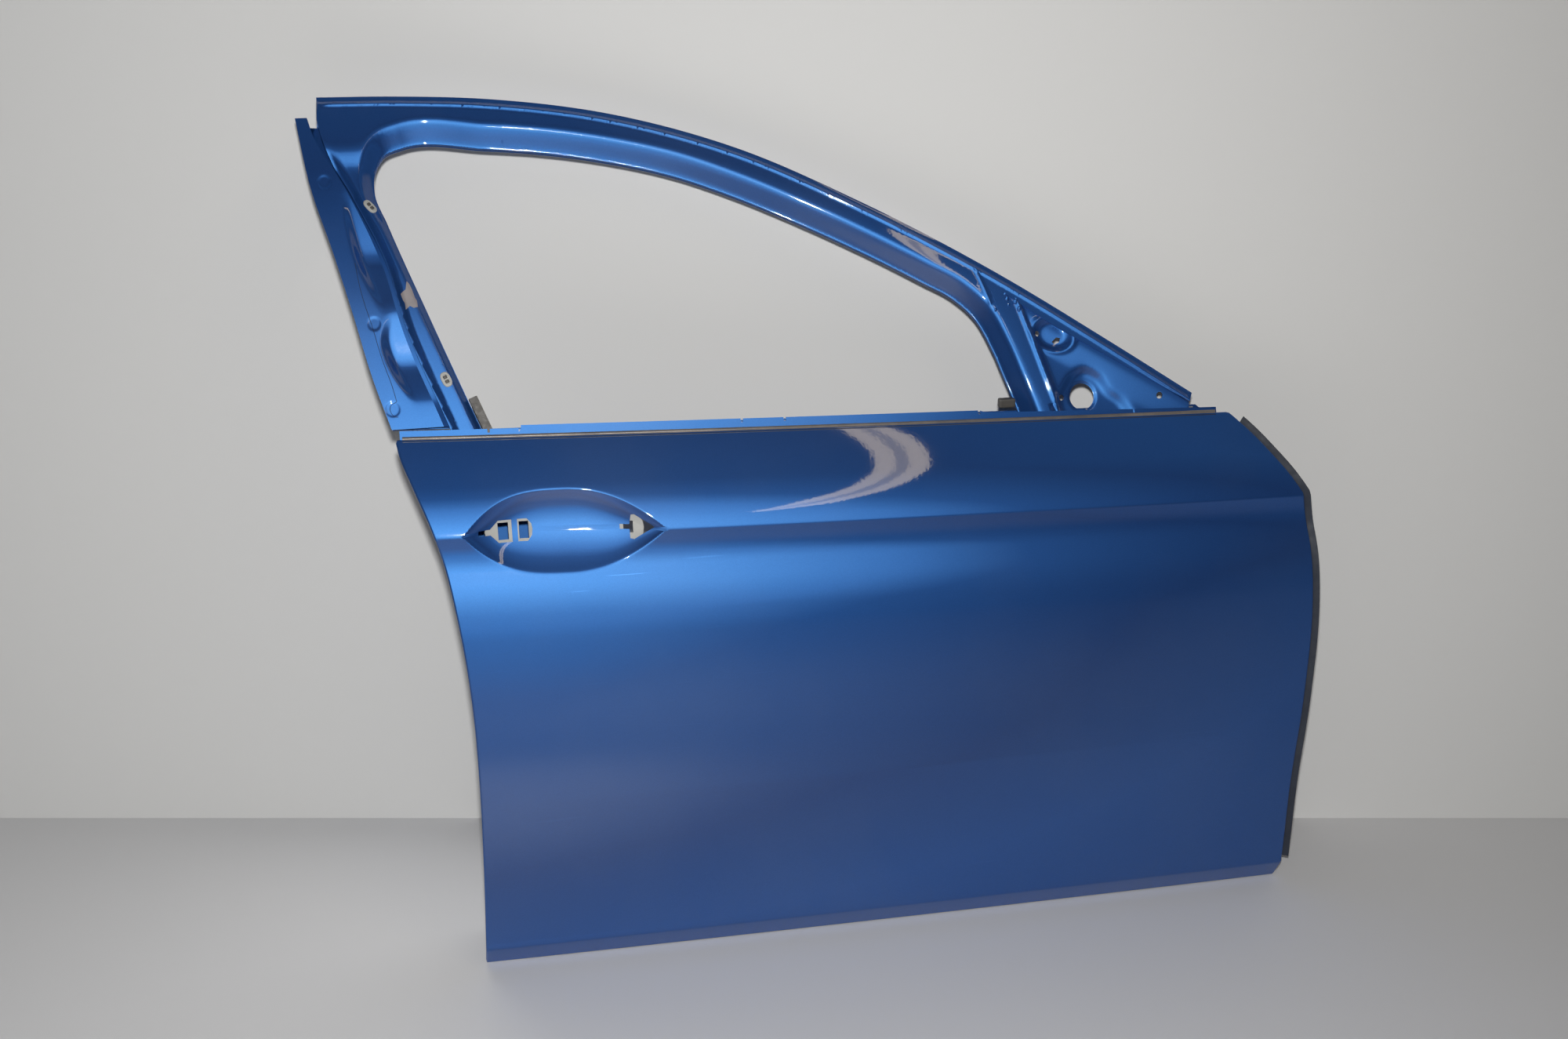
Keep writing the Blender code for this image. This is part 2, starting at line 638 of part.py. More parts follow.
def add_hem(mesh_data, places):
    """Turn the border of the skin inboard and back over the flange of the inner panel."""
    last_row, last_col = len(places) - 1, len(places[0]) - 1
    border = [(0, i) for i in range(last_col + 1)]
    border += [(j, last_col) for j in range(1, last_row + 1)]
    border += [(last_row, i) for i in range(last_col - 1, -1, -1)]
    border += [(j, 0) for j in range(last_row - 1, 0, -1)]
    rings = []
    for j, i in border:
        x, z = places[j][i]
        inner_j = min(max(j, 1), last_row - 1)
        inner_i = min(max(i, 1), last_col - 1)
        inward = (Vector(places[inner_j][inner_i]) - Vector((x, z))).normalized() * HEM_LIP
        lip = skin_point(x + inward.x, z + inward.y, HEM_DEPTH)
        rings.append((skin_point(x, z), skin_point(x, z, HEM_DEPTH), lip))
    verts = [[mesh_data.verts.new(point) for point in ring] for ring in rings]
    for i, ring in enumerate(verts):
        after = verts[(i + 1) % len(verts)]
        mesh_data.faces.new((ring[0], after[0], after[1], ring[1]))
        mesh_data.faces.new((ring[1], after[1], after[2], ring[2]))
    bmesh.ops.remove_doubles(mesh_data, verts=mesh_data.verts, dist=1e-6)


# Inner panel. A flange sits in the hem of the skin; flat walls for the hinges and the lock rise
# from it to the floor of the pan, which has the service opening and the loudspeaker opening.
def pan_y(z):
    return PAN_Y + PAN_LEAN * z


def flange_point(x, z):
    return skin_point(x, z, SKIN_SHEET + SEAT_GAP)


def wall_x(foot, sign, y):
    """Place of a flat wall that opens towards the skin, at one depth."""
    return foot + sign * WALL_DRAFT * (HINGE_Y - y)


def lock_wall(z):
    return LOCK_X + rear_x(z) - rear_x(min(z, LOCK_WALL_TOP))


def front_wall(z):
    return min(HINGE_X, front_x(z) - FRONT_FLANGE)


def u_line(rear, low, front):
    """Line down the rear of the pan, along its foot and up its front."""
    levels = [level for level in SKIN_LEVELS[:-1] if level_z(level, 0.0) > low + CORNER_CUT / 2]
    line = [rear(level_z(level, 0.0)) for level in reversed(levels)]
    rise = [front(level_z(level, HINGE_X)) for level in levels]
    start, end = line[-1][0] + CORNER_CUT, rise[0][0] - CORNER_CUT
    return line + [(float(x), low) for x in np.linspace(start, end, 18)] + rise


def inner_panel():
    inset = SKIN_SHEET + 2 * SEAT_GAP
    edge = u_line(lambda z: (rear_x(z) + inset, z), inset, lambda z: (front_x(z) - inset, z))
    foot = u_line(lambda z: (wall_x(lock_wall(z), -1, skin_y(LOCK_X, z)), z), FLANGE_WIDTH,
                  lambda z: (wall_x(front_wall(z), 1, skin_y(HINGE_X, z)), z))
    top = u_line(lambda z: (wall_x(lock_wall(z), -1, pan_y(z)), z), PAN_FOOT,
                 lambda z: (wall_x(front_wall(z), 1, pan_y(z)), z))
    flange = {(round(x, 5), round(z, 5)) for x, z in edge + foot}
    openings = [SERVICE_OPENING, FRONT_OPENING, circle(*SPEAKER, 24)]
    plug_holes = [circle(*hole, PLUG_SIDES) for hole in PLUG_HOLES]
    dropped = {(round(x, 5), round(z, 5)) for loop in openings for x, z in loop}

    def lift(x, z):
        place = (round(x, 5), round(z, 5))
        if place in flange:
            return flange_point(x, z)
        return Vector((x, pan_y(z) - (RIM_DROP if place in dropped else 0.0), z))

    top_edge = [(float(x), belt_z(x) - PAN_TOP)
                for x in np.linspace(top[-1][0] - CORNER_CUT, top[0][0] + CORNER_CUT, 16)]
    outline = edge + [foot[-1], top[-1]] + top_edge + [top[0], foot[0]]
    lines = [foot, top] + [closed(grow(loop, RIM_WIDTH)) for loop in openings]
    panel = sheet("inner_panel", BLUE_PAINT, PANEL_SHEET, lift, outline, openings + plug_holes, lines)
    for name, height in (("upper", HINGE_UPPER), ("lower", HINGE_LOWER)):
        for side in (-1, 1):
            centre = (HINGE_X, HINGE_Y, height + side * HINGE_BOLT_SPACING / 2)
            drill_name = f"{name}_hinge_drill_{side + 1}"
            cut(panel, drill(drill_name, centre, (1, 0, 0), HINGE_BOLT_HOLE / 2, DRILL_LENGTH))
    wiring = (HINGE_X, HINGE_Y, WIRING_HEIGHT)
    cut(panel, drill("wiring_drill", wiring, (1, 0, 0), WIRING_HOLE / 2, DRILL_LENGTH, 20))
    strap = (HINGE_X, HINGE_Y, STRAP_HEIGHT)
    cut(panel, slot_cutter("strap_cutter", strap, STRAP_SLOT))
    lock = (LOCK_X, LOCK_Y, LOCK_HEIGHT)
    cut(panel, slot_cutter("lock_cutter", lock, LOCK_SLOT))
    for number, (across, up) in enumerate(LOCK_SCREWS):
        centre = (LOCK_X, LOCK_Y + across, LOCK_HEIGHT + up)
        cut(panel, drill(f"lock_drill_{number}", centre, (1, 0, 0), LOCK_SCREW_HOLE / 2,
                         DRILL_LENGTH, 10))
    return panel


def slot_cutter(name, centre, size):
    low = (centre[0] - DRILL_LENGTH / 2, centre[1] - size[0] / 2, centre[2] - size[1] / 2)
    high = (centre[0] + DRILL_LENGTH / 2, centre[1] + size[0] / 2, centre[2] + size[1] / 2)
    return box(name, BARE_ALUMINIUM, low, high)


def grow(loop, distance):
    """Closed loop moved outwards by a distance."""
    centre = sum((Vector(point) for point in loop), Vector((0.0, 0.0))) / len(loop)
    grown = []
    for i, point in enumerate(loop):
        before, after = Vector(loop[i - 1]), Vector(loop[(i + 1) % len(loop)])
        along = (after - before).normalized()
        out = Vector((along.y, -along.x))
        if out.dot(Vector(point) - centre) < 0:
            out = -out
        grown.append(tuple(Vector(point) + out * distance))
    return grown


# Window frame. The outer pressing is one ring: rear leg, roof rail and front post, with the edge
# towards the glass turned inboard. The inner pressing closes it to a box behind.
FRAME_STACK = FRAME_SHEET + SEAT_GAP
ROOF = smooth_line(ROOF_EDGE, 0.045)
WINDOW = smooth_line(WINDOW_EDGE, 0.020)
CHANNEL = smooth_line(CHANNEL_LINE, 0.030)
SEAM = smooth_line(SEAM_LINE, 0.030)
SAIL_RIM = smooth_line(SAIL_TOP, 0.035)


def blend(low, high, share):
    share = min(max(share, 0.0), 1.0)
    return low + (high - low) * share


def leg_share(x, z):
    """1 on the rear leg of the frame, 0 on its rail and post."""
    return blend(1.0, 0.0, (z - LEG_TOP) / LEG_BLEND) if x < LEG_END else 0.0


def outer_depth(x, z):
    leg = leg_share(x, z)
    face = LEG_DEPTH * leg
    from_window = distance_to(WINDOW, x, z)
    turned = blend(RETURN_DEPTH, face, (from_window - RETURN_FLAT) / (RETURN_WIDTH - RETURN_FLAT))
    dropped = blend(ROOF_DROP, face, (distance_to(ROOF, x, z) - ROOF_FLANGE) / (ROOF_STEP - ROOF_FLANGE))
    edge = blend(RETURN_DEPTH, face, distance_to(CHANNEL, x, z) / WEB) * leg
    return max(turned, dropped if from_window > RETURN_WIDTH else 0.0, edge)


def frame_outer():
    ends = [(ROOF[0][0], ROOF[0][1] - ROOF_STEP), (ROOF[0][0], ROOF[0][1] - ROOF_FLANGE)]
    outline = ROOF + SAIL_RIM[::-1] + SEAM[1:] + WINDOW[::-1] + CHANNEL[::-1] + ends
    flange = [ends[1]] + beside(ROOF, -ROOF_FLANGE)[1:-1]
    step = [ends[0]] + beside(ROOF, -ROOF_STEP)[1:-1]
    lines = [[point for point in line if distance_to(SAIL_RIM, *point) > WEB] for line in (flange, step)]
    lines += [beside(WINDOW, RETURN_FLAT)[1:-1], beside(WINDOW, RETURN_WIDTH)[1:-1]]
    lines.append(beside(CHANNEL, WEB)[1:-1])
    return sheet("frame_outer", BLUE_PAINT, FRAME_SHEET,
                 lambda x, z: frame_point(x, z, outer_depth(x, z)), outline, lines=lines)


def inner_outline():
    """Outline of the inner pressing, and its edge away from the glass."""
    roof = [point for point in beside(ROOF, -2 * SEAT_GAP) if point[0] < SEAM_LINE[0][0]]
    leg = smooth_line(PLATE_OUTER, 0.035)
    leg = [(x + 2 * SEAT_GAP, z) for x, z in leg]
    foot = [(LEG_FOOT[0], leg[-1][1]), LEG_FOOT]
    return roof, leg, foot


def frame_inner():
    roof, leg, foot = inner_outline()
    seam = [(x - SEAT_GAP, z) for x, z in SEAM]
    joint = [tuple(Vector(roof[-1]).lerp(Vector(seam[0]), share)) for share in (0.25, 0.5, 0.75)]
    outer_edge = foot[:0:-1] + foot[:1] + leg[::-1] + roof + joint
    outline = outer_edge + seam + WINDOW[::-1]

    def depth(x, z):
        box = blend(BOX_DEPTH_LOW, BOX_DEPTH, (z - FRAME_FOOT) / LEG_BLEND)
        sides = ((distance_to(WINDOW, x, z), RETURN_DEPTH + FRAME_STACK, WEB + SEAT_GAP),
                 (distance_to(roof, x, z), ROOF_DROP + FRAME_STACK, BOX_FLANGE),
                 (distance_to(leg, x, z), PLATE_DEPTH + FRAME_STACK, BOX_FLANGE),
                 (distance_to(seam, x, z), 2 * FRAME_STACK, BOX_FLANGE))
        deep = min(blend(flange, box, (away - width) / BOX_WALL) for away, flange, width in sides)
        return max(deep, outer_depth(x, z) + FRAME_STACK)

    near_window = [beside(WINDOW, WEB + SEAT_GAP), beside(WINDOW, WEB + SEAT_GAP + BOX_WALL)]
    near_edge = [beside(line, side * width) for line, side in ((roof, -1), (leg, 1), (seam, -1))
                 for width in (BOX_FLANGE, BOX_FLANGE + BOX_WALL)]
    lines = [[point for point in line[1:-1] if inside(outline, *point)
              and distance_to(closed(outline), *point) > WEB] for line in near_window + near_edge]
    return sheet("frame_inner", BLUE_PAINT, FRAME_SHEET,
                 lambda x, z: frame_point(x, z, depth(x, z)), outline, lines=lines)


# Plate on the rear leg: its outer flange is plain, its middle is pressed into two long pockets
# with a raised pad beside the lower one.

def slanted(shape, x, z):
    """How far a point is from the middle of a long oval: 0 there, 1 at its edge."""
    centre_x, centre_z, half_length, half_width = shape
    along = (x - centre_x) * POCKET_SLANT[0] + (z - centre_z) * POCKET_SLANT[1]
    across = (x - centre_x) * POCKET_SLANT[1] - (z - centre_z) * POCKET_SLANT[0]
    return min(1.0, math.hypot(along / half_length, across / half_width))


def plate_depth(x, z):
    depth = PLATE_DEPTH
    for pocket in (UPPER_POCKET, LOWER_POCKET):
        depth += POCKET_DEPTH * (1 - slanted(pocket, x, z) ** 2) ** 2
    return depth - PAD_HEIGHT * (1 - slanted(LOWER_PAD, x, z) ** 2)


def b_pillar_plate():
    rows = []
    outer = [(z, x) for x, z in reversed(PLATE_OUTER)]
    inner = [(z, x) for x, z in reversed(PLATE_INNER)]
    for z in np.linspace(PLATE_OUTER[-1][1], PLATE_OUTER[0][1], 26):
        start, end = smooth_at(outer, z), smooth_at(inner, z)
        row = [start + (end - start) * i / 8 for i in range(9)]
        rows.append([frame_point(x, z, plate_depth(x, z)) for x in row])
    return lofted_sheet("b_pillar_plate", BLUE_PAINT, FRAME_SHEET, rows)


# Mirror corner: a pressing lapped behind the roof rail and the front post, with its own
# reinforcement for the mirror screws.

def seam_x(z):
    return float(np.interp(-z, [-point[1] for point in SEAM], [point[0] for point in SEAM]))


def sail_depth(x, z):
    ahead = x - seam_x(z)
    floor = blend(0.0, SAIL_FLOOR, (ahead - RIDGE_OFFSET) / SAIL_WALL)
    edge = blend(0.0, SAIL_FLOOR, (distance_to(SAIL_RIM, x, z) - WEB) / SAIL_WALL)
    under_step = blend(ROOF_DROP + SEAT_GAP, 0.0, (distance_to(ROOF, x, z) - ROOF_STEP) / WEB)
    swage_z = np.interp(x, [point[0] for point in SWAGE], [point[1] for point in SWAGE])
    step = blend(0.0, SAIL_STEP, min((swage_z - z) / SAIL_WALL + 0.5, (ahead - WEB) / SAIL_WALL))
    from_bulb = math.hypot(x - BULB[0], z - BULB[1])
    bulb = blend(SAIL_STEP, 0.0, (from_bulb - BULB[2] + BULB_WALL) / BULB_WALL)
    return FRAME_STACK + max(min(floor, edge), under_step) + step + bulb


def sail_outline():
    rim = beside(SAIL_RIM, RIM_LAP)[1:-1]
    tip = (SAIL_RIM[-1][0], SAIL_RIM[-1][1] - SEAT_GAP)
    corner = seam_x(belt_z(SEAM[-1][0]) - SAIL_FOOT)
    foot = [(float(x), belt_z(x) - SAIL_FOOT) for x in np.linspace(tip[0], corner + RIM_LAP, 10)]
    foot.append((corner - SEAM_LAP, belt_z(corner) - SAIL_FOOT))
    side = [point for point in beside(SEAM, -SEAM_LAP) if point[1] > foot[-1][1] + WEB]
    return rim + [tip] + foot + side[::-1]


def sail_panel():
    outline = sail_outline()
    holes = [circle(*WIRE_HOLE, 20)] + [circle(*hole, 8) for hole in MIRROR_HOLES]
    holes.append(circle(*MIRROR_SLOT, 4))
    free = []
    for i in range(30):
        for j in range(18):
            x, z = SAIL_NET[0] + SAIL_NET[2] * i, SAIL_NET[1] + SAIL_NET[2] * j
            near = min(distance_to(closed(loop), x, z) for loop in [outline] + holes)
            if near > POINT_CLEAR and inside(outline, x, z):
                free.append((x, z))
    lap_end = [point for point in beside(SEAM, RIM_LAP) if inside(outline, *point)
               and distance_to(closed(outline), *point) > POINT_CLEAR / 2]
    return sheet("sail_panel", BLUE_PAINT, FRAME_SHEET,
                 lambda x, z: frame_point(x, z, sail_depth(x, z)), outline, holes, [lap_end], free)


def mirror_reinforcement():
    deep = SAIL_FLOOR + SAIL_STEP + 2 * FRAME_STACK + SEAT_GAP
    return sheet("mirror_reinforcement", BARE_ALUMINIUM, PLATE_SHEET,
                 lambda x, z: frame_point(x, z, deep), MIRROR_PLATE)


# Belt stiffeners. The outer one lies behind the hem of the skin and shows its upright flange
# above it; the inner one is a hat section on the pan. The glass runs between them.

def flange_height(x):
    height = BELT_FLANGE if x > BELT_NOTCHES[1] else BELT_FLANGE_REAR
    notched = any(abs(x - notch) < NOTCH_WIDTH * 0.6 for notch in BELT_NOTCHES)
    return height - NOTCH_DEPTH if notched else height


def belt_stations(start, end, count):
    places = [float(x) for x in np.linspace(start, end, count)]
    places += [BELT_WEB_START + step for step in (-0.014, -0.004, 0.0005)]
    places += [notch + side for notch in BELT_NOTCHES
               for side in (-NOTCH_WIDTH, -NOTCH_WIDTH / 2, NOTCH_WIDTH / 2, NOTCH_WIDTH)]
    return sorted(places)


def outer_belt_reinforcement():
    """Its web stops short of the rear wall of the pan; only the top strip runs on to the edge."""
    behind_skin = SKIN_SHEET + SEAT_GAP
    behind_hem = HEM_DEPTH + SEAT_GAP
    rows = []
    for x in belt_stations(*BELT_ENDS, 22):
        top = belt_z(x)
        upright = skin_point(x, top, behind_hem)
        rise = top + flange_height(x) - upright.z
        if x > BELT_WEB_START:
            low = skin_point(x, top - BELT_WEB, behind_skin)
            row = [low + Vector((0, BELT_RIB, -BELT_RIB_FALL)), low,
                   skin_point(x, top - HEM_LIP - BELT_JOG[1], behind_skin),
                   skin_point(x, top - HEM_LIP - BELT_JOG[0], behind_hem)]
        else:
            down = blend(*STRIP_TUCK, (BELT_WEB_START - x - 0.004) / 0.010)
            row = [skin_point(x, top - down + 0.0004 * i, behind_hem) for i in range(4)]
        rows.append(row + [upright, upright + Vector((0, rise * FRAME_TILT, rise))])
    return lofted_sheet("outer_belt_reinforcement", BLUE_PAINT, FRAME_SHEET, rows)


def inner_belt_reinforcement():
    rows = []
    for x in np.linspace(*INNER_BELT_ENDS, 20):
        row = []
        for down, out in HAT_SECTION:
            z = belt_z(x) - down
            row.append(Vector((x, pan_y(z) - SEAT_GAP - FRAME_SHEET - out, z)))
        rows.append(row)
    return lofted_sheet("inner_belt_reinforcement", BARE_ALUMINIUM, FRAME_SHEET, rows)


# Impact beam, an extruded bar with two chambers, on a bracket at each end.

def bar(name, start, end, half_height, near, far):
    """Straight bar in the XZ plane between two depths."""
    start, end = Vector((start[0], 0, start[1])), Vector((end[0], 0, end[1]))
    along = (end - start).normalized()
    up = Vector((0, 1, 0)).cross(along) * -half_height
    mesh_data = bmesh.new()
    corners = []
    for middle in (start, end):
        for side, depth in ((-1, near), (1, near), (1, far), (-1, far)):
            corners.append(mesh_data.verts.new(middle + up * side + Vector((0, depth, 0))))
    for quad in ((0, 1, 2, 3), (7, 6, 5, 4), (0, 4, 5, 1), (1, 5, 6, 2), (2, 6, 7, 3), (3, 7, 4, 0)):
        mesh_data.faces.new([corners[i] for i in quad])
    bmesh.ops.recalc_face_normals(mesh_data, faces=mesh_data.faces)
    return add_object(name, mesh_data, BARE_ALUMINIUM)


def beam_point(share):
    return tuple(a + (b - a) * share for a, b in zip(BEAM_REAR, BEAM_FRONT))


def impact_beam():
    far = BEAM_Y + BEAM_DEPTH
    beam = bar("impact_beam", BEAM_REAR, BEAM_FRONT, BEAM_HEIGHT / 2, BEAM_Y, far)
    along = Vector(BEAM_FRONT) - Vector(BEAM_REAR)
    up = Vector((-along.y, along.x)).normalized()
    chamber = (BEAM_HEIGHT - 3 * BEAM_WALL) / 2
    for number, side in enumerate((-1, 1)):
        shift = up * side * (chamber + BEAM_WALL) / 2
        start = Vector(BEAM_REAR) - along * 0.02 + shift
        end = Vector(BEAM_FRONT) + along * 0.02 + shift
        cut(beam, bar(f"chamber_cutter_{number}", start, end, chamber / 2,
                      BEAM_Y + BEAM_WALL, far - BEAM_WALL))
    return beam


def beam_bracket(name, end, inner, wall, sign):
    """Plate that laps the beam and turns inboard along a wall of the inner panel."""
    y = BEAM_Y + BEAM_DEPTH + SEAT_GAP
    turn = wall_x(wall, sign, y) - sign * (PLATE_SHEET + SEAT_GAP)
    foot_y = y + BRACKET_TURN
    foot = wall_x(wall, sign, foot_y) - sign * (PLATE_SHEET + SEAT_GAP)
    rows = []
    for height in BRACKET_EDGES:
        low = end[1] + height
        rows.append([Vector((inner, y, end[1] + height * BRACKET_TAPER)), Vector((turn, y, low)),
                     Vector((foot, foot_y, low))])
    return lofted_sheet(name, BARE_ALUMINIUM, PLATE_SHEET, rows)


# Plates behind the flat walls

def wall_plate(name, wall, sign, y, z, reach, thickness=PLATE_SHEET):
    """Flat plate against the inside of a wall of the pan, around a middle."""
    outboard, inboard, half = reach
    mesh_data = bmesh.new()
    corners = []
    for away in (SEAT_GAP, SEAT_GAP + thickness):
        for corner_y, corner_z in ((y - outboard, z - half), (y + inboard, z - half),
                                   (y + inboard, z + half), (y - outboard, z + half)):
            corner_x = wall_x(wall, sign, corner_y) - sign * away
            corners.append(mesh_data.verts.new((corner_x, corner_y, corner_z)))
    for quad in ((0, 1, 2, 3), (7, 6, 5, 4), (0, 4, 5, 1), (1, 5, 6, 2), (2, 6, 7, 3), (3, 7, 4, 0)):
        mesh_data.faces.new([corners[i] for i in quad])
    bmesh.ops.recalc_face_normals(mesh_data, faces=mesh_data.faces)
    return add_object(name, mesh_data, BARE_ALUMINIUM)


def hinge_reinforcement(name, height):
    plate = wall_plate(name, HINGE_X, 1, HINGE_Y, height, HINGE_PLATE, HINGE_PLATE_SHEET)
    for side in (-1, 1):
        centre = (HINGE_X, HINGE_Y, height + side * HINGE_BOLT_SPACING / 2)
        cut(plate, drill(f"{name}_drill_{side + 1}", centre, (1, 0, 0), HINGE_BOLT_HOLE / 2, DRILL_LENGTH))
    return plate


def check_strap_reinforcement():
    plate = wall_plate("check_strap_reinforcement", HINGE_X, 1, HINGE_Y, STRAP_HEIGHT, STRAP_PLATE)
    cut(plate, slot_cutter("strap_plate_cutter", (HINGE_X, HINGE_Y, STRAP_HEIGHT), STRAP_SLOT))
    return plate


def lock_reinforcement():
    plate = wall_plate("lock_reinforcement", LOCK_X, -1, LOCK_Y, LOCK_HEIGHT, LOCK_PLATE)
    cut(plate, slot_cutter("lock_plate_cutter", (LOCK_X, LOCK_Y, LOCK_HEIGHT), LOCK_SLOT))
    for number, (across, up) in enumerate(LOCK_SCREWS):
        centre = (LOCK_X, LOCK_Y + across, LOCK_HEIGHT + up)
        cut(plate, drill(f"lock_plate_drill_{number}", centre, (1, 0, 0), LOCK_SCREW_HOLE / 2,
                         DRILL_LENGTH, 10))
    return plate


# Carrier of the outside handle, moulded to the back of the recess.

def carrier_loop(share, count):
    loop = []
    for i in range(count):
        across, up = math.cos(2 * math.pi * i / count), math.sin(2 * math.pi * i / count)
        across = math.copysign(abs(across) ** CARRIER_POWER, across)
        up = math.copysign(abs(up) ** CARRIER_POWER, up)
        x = RECESS_X + CARRIER_HALF[0] * share * across
        loop.append((x, crease_z(x) + CARRIER_HALF[1] * share * up))
    return loop


def handle_carrier():
    windows = [on_crease([(low, half), (high, half), (high, -half), (low, -half)])
               for low, high, half in CARRIER_WINDOWS]
    free = [point for share in (0.8, 0.6, 0.4, 0.2) for point in carrier_loop(share, 26)
            if not any(inside(window, *point) or distance_to(closed(window), *point) < POINT_CLEAR
                       for window in windows)]
    return sheet("handle_carrier", GREY_PLASTIC, CARRIER_SHEET,
                 lambda x, z: skin_point(x, z, SKIN_SHEET + CARRIER_GAP), carrier_loop(1.0, 34),
                 windows, points=free)


# Glass guides: U channels that carry on from the rear leg and the front post into the door.

def guide(name, points, sign):
    """U channel along the glass edge; its back lies on the turned edge of the frame."""
    half = GUIDE_WIDTH / 2
    back, front = 0.0, sign * GUIDE_REACH
    wall = sign * GUIDE_WALL
    profile = [(back, -half), (front, -half), (front, -half + GUIDE_WALL), (wall, -half + GUIDE_WALL),
               (wall, half - GUIDE_WALL), (front, half - GUIDE_WALL), (front, half), (back, half)]
    path = [frame_point(x, z, RETURN_DEPTH) for x, z in points]
    return sweep(name, DARK_PLASTIC, path, profile, Vector((1, 0, 0)))


def rear_guide_channel():
    slope = (WINDOW_EDGE[1][0] - WINDOW_EDGE[0][0]) / (WINDOW_EDGE[1][1] - WINDOW_EDGE[0][1])
    line = [(WINDOW_EDGE[1][0] + slope * (z - WINDOW_EDGE[1][1]) + FRAME_SHEET, float(z))
            for z in np.linspace(REAR_GUIDE_TOP, GUIDE_END, 12)]
    return guide("rear_guide_channel", line, 1)


def guide_foot():
    """Dark block that holds the glass run where the front post meets the belt."""
    x, z = GUIDE_FOOT
    middle = frame_point(x, z, RETURN_DEPTH)
    half = Vector(GUIDE_FOOT_SIZE) / 2
    return box("front_guide_foot", DARK_PLASTIC, middle - half, middle + half,
               GUIDE_FOOT_BEVEL)


def front_guide_channel():
    slope = (WINDOW_EDGE[-1][0] - WINDOW_EDGE[-2][0]) / (WINDOW_EDGE[-1][1] - WINDOW_EDGE[-2][1])
    line = [(WINDOW_EDGE[-2][0] + slope * (z - WINDOW_EDGE[-2][1]) - SEAT_GAP, float(z))
            for z in np.linspace(FRONT_GUIDE_TOP, GUIDE_END, 10)]
    return guide("front_guide_channel", line, -1)


def frame_face(x, z):
    """Point of the outer face of the outer frame pressing."""
    return frame_point(x, z, outer_depth(x, z))


def block_on_frame(name, material, x, z, size, bevel):
    """Small block seated on the outer frame pressing: its width, height and thickness."""
    reach = 0.002
    over = frame_face(x + reach, z) - frame_face(x - reach, z)
    along = frame_face(x - reach * LEG_LEAN, z + reach) - frame_face(x + reach * LEG_LEAN, z - reach)
    outward = along.cross(over).normalized()
    if outward.y > 0:
        outward = -outward
    along.normalize()
    across = along.cross(outward)
    centre = frame_face(x, z) + outward * (size[2] / 2 + CLIP_GAP)
    mesh_data = bmesh.new()
    bmesh.ops.create_cube(mesh_data, size=1.0)
    for vert in mesh_data.verts:
        a, b, c = vert.co
        vert.co = centre + across * a * size[0] + along * b * size[1] + outward * c * size[2]
    bmesh.ops.recalc_face_normals(mesh_data, faces=mesh_data.faces)
    piece = add_object(name, mesh_data, material)
    edges = piece.modifiers.new("edges", 'BEVEL')
    edges.width = bevel
    edges.segments = 2
    return piece


# Rubber and foam

def ring_solid(name, material, rings):
    mesh_data = bmesh.new()
    loops = [[mesh_data.verts.new(point) for point in ring] for ring in rings]
    for low, high in zip(loops, loops[1:]):
        for i in range(len(low)):
            after = (i + 1) % len(low)
            mesh_data.faces.new((low[i], low[after], high[after], high[i]))
    mesh_data.faces.new(loops[0])
    mesh_data.faces.new(loops[-1][::-1])
    bmesh.ops.recalc_face_normals(mesh_data, faces=mesh_data.faces)
    return add_object(name, mesh_data, material)


def front_gap_seal():
    seat = HEM_DEPTH + SEAT_GAP
    profile = [(-SEAL_SEAT, seat), (0.0, seat), (SEAL_SHOULDERS[0], seat - SEAL_WAIST),
               (SEAL_REACH - SEAL_TIP[0], SEAL_TIP[0]), (SEAL_REACH, SEAL_TIP[1]),
               (SEAL_SHOULDERS[1], seat + SEAL_WAIST), (SEAL_TIP[0], seat + SEAL_BODY),
               (-SEAL_SEAT, seat + SEAL_BODY)]
    levels = [level for level in SKIN_LEVELS
              if SEAL_ENDS[0] <= level_z(level, HINGE_X) <= SEAL_ENDS[1]]
    edge = [skin_place(1.0, level) for level in levels]
    outer = beside(edge, -1.0)
    rings = []
    for (x, z), (far_x, far_z) in zip(edge, outer):
        ring = []
        for reach, depth in profile:
            ring.append(skin_point(x + (far_x - x) * reach, z + (far_z - z) * reach, depth))
        rings.append(ring)
    return ring_solid("front_gap_seal", BLACK_RUBBER, rings)


def damping_pad(name, low, high):
    count = 8
    edge = [(float(x), low[1]) for x in np.linspace(low[0], high[0], count)]
    edge += [(float(x), high[1]) for x in np.linspace(high[0], low[0], count)]
    return sheet(name, FOAM_PAD, PAD_SHEET,
                 lambda x, z: skin_point(x, z, SKIN_SHEET + SEAT_GAP), edge)


def mastic_bead(name, share):
    x, z = beam_point(share)
    half_x, half_z = MASTIC_HALF
    near = [skin_point(x + a, z + b, SKIN_SHEET + SEAT_GAP)
            for a, b in ((-half_x, -half_z), (half_x, -half_z), (half_x, half_z), (-half_x, half_z))]
    far = [Vector((point.x, BEAM_Y - SEAT_GAP, point.z)) for point in near]
    return ring_solid(name, BLACK_RUBBER, [near, far])


def access_plug(name, hole):
    """Flanged rubber plug pushed into a round hole of the pan from inside the car."""
    x, z, radius = hole
    normal = Vector((0, 1, -PAN_LEAN)).normalized()
    body, brim = radius - SEAT_GAP, radius + PLUG_BRIM
    seat = PANEL_SHEET + SEAT_GAP
    rings = []
    for reach, size in ((-PLUG_TIP, body), (seat, body), (seat, brim), (seat + PLUG_BRIM_SHEET, brim)):
        rings.append([Vector((a, pan_y(b), b)) + normal * reach
                      for a, b in circle(x, z, size, PLUG_SIDES)])
    return ring_solid(name, BLACK_RUBBER, rings)


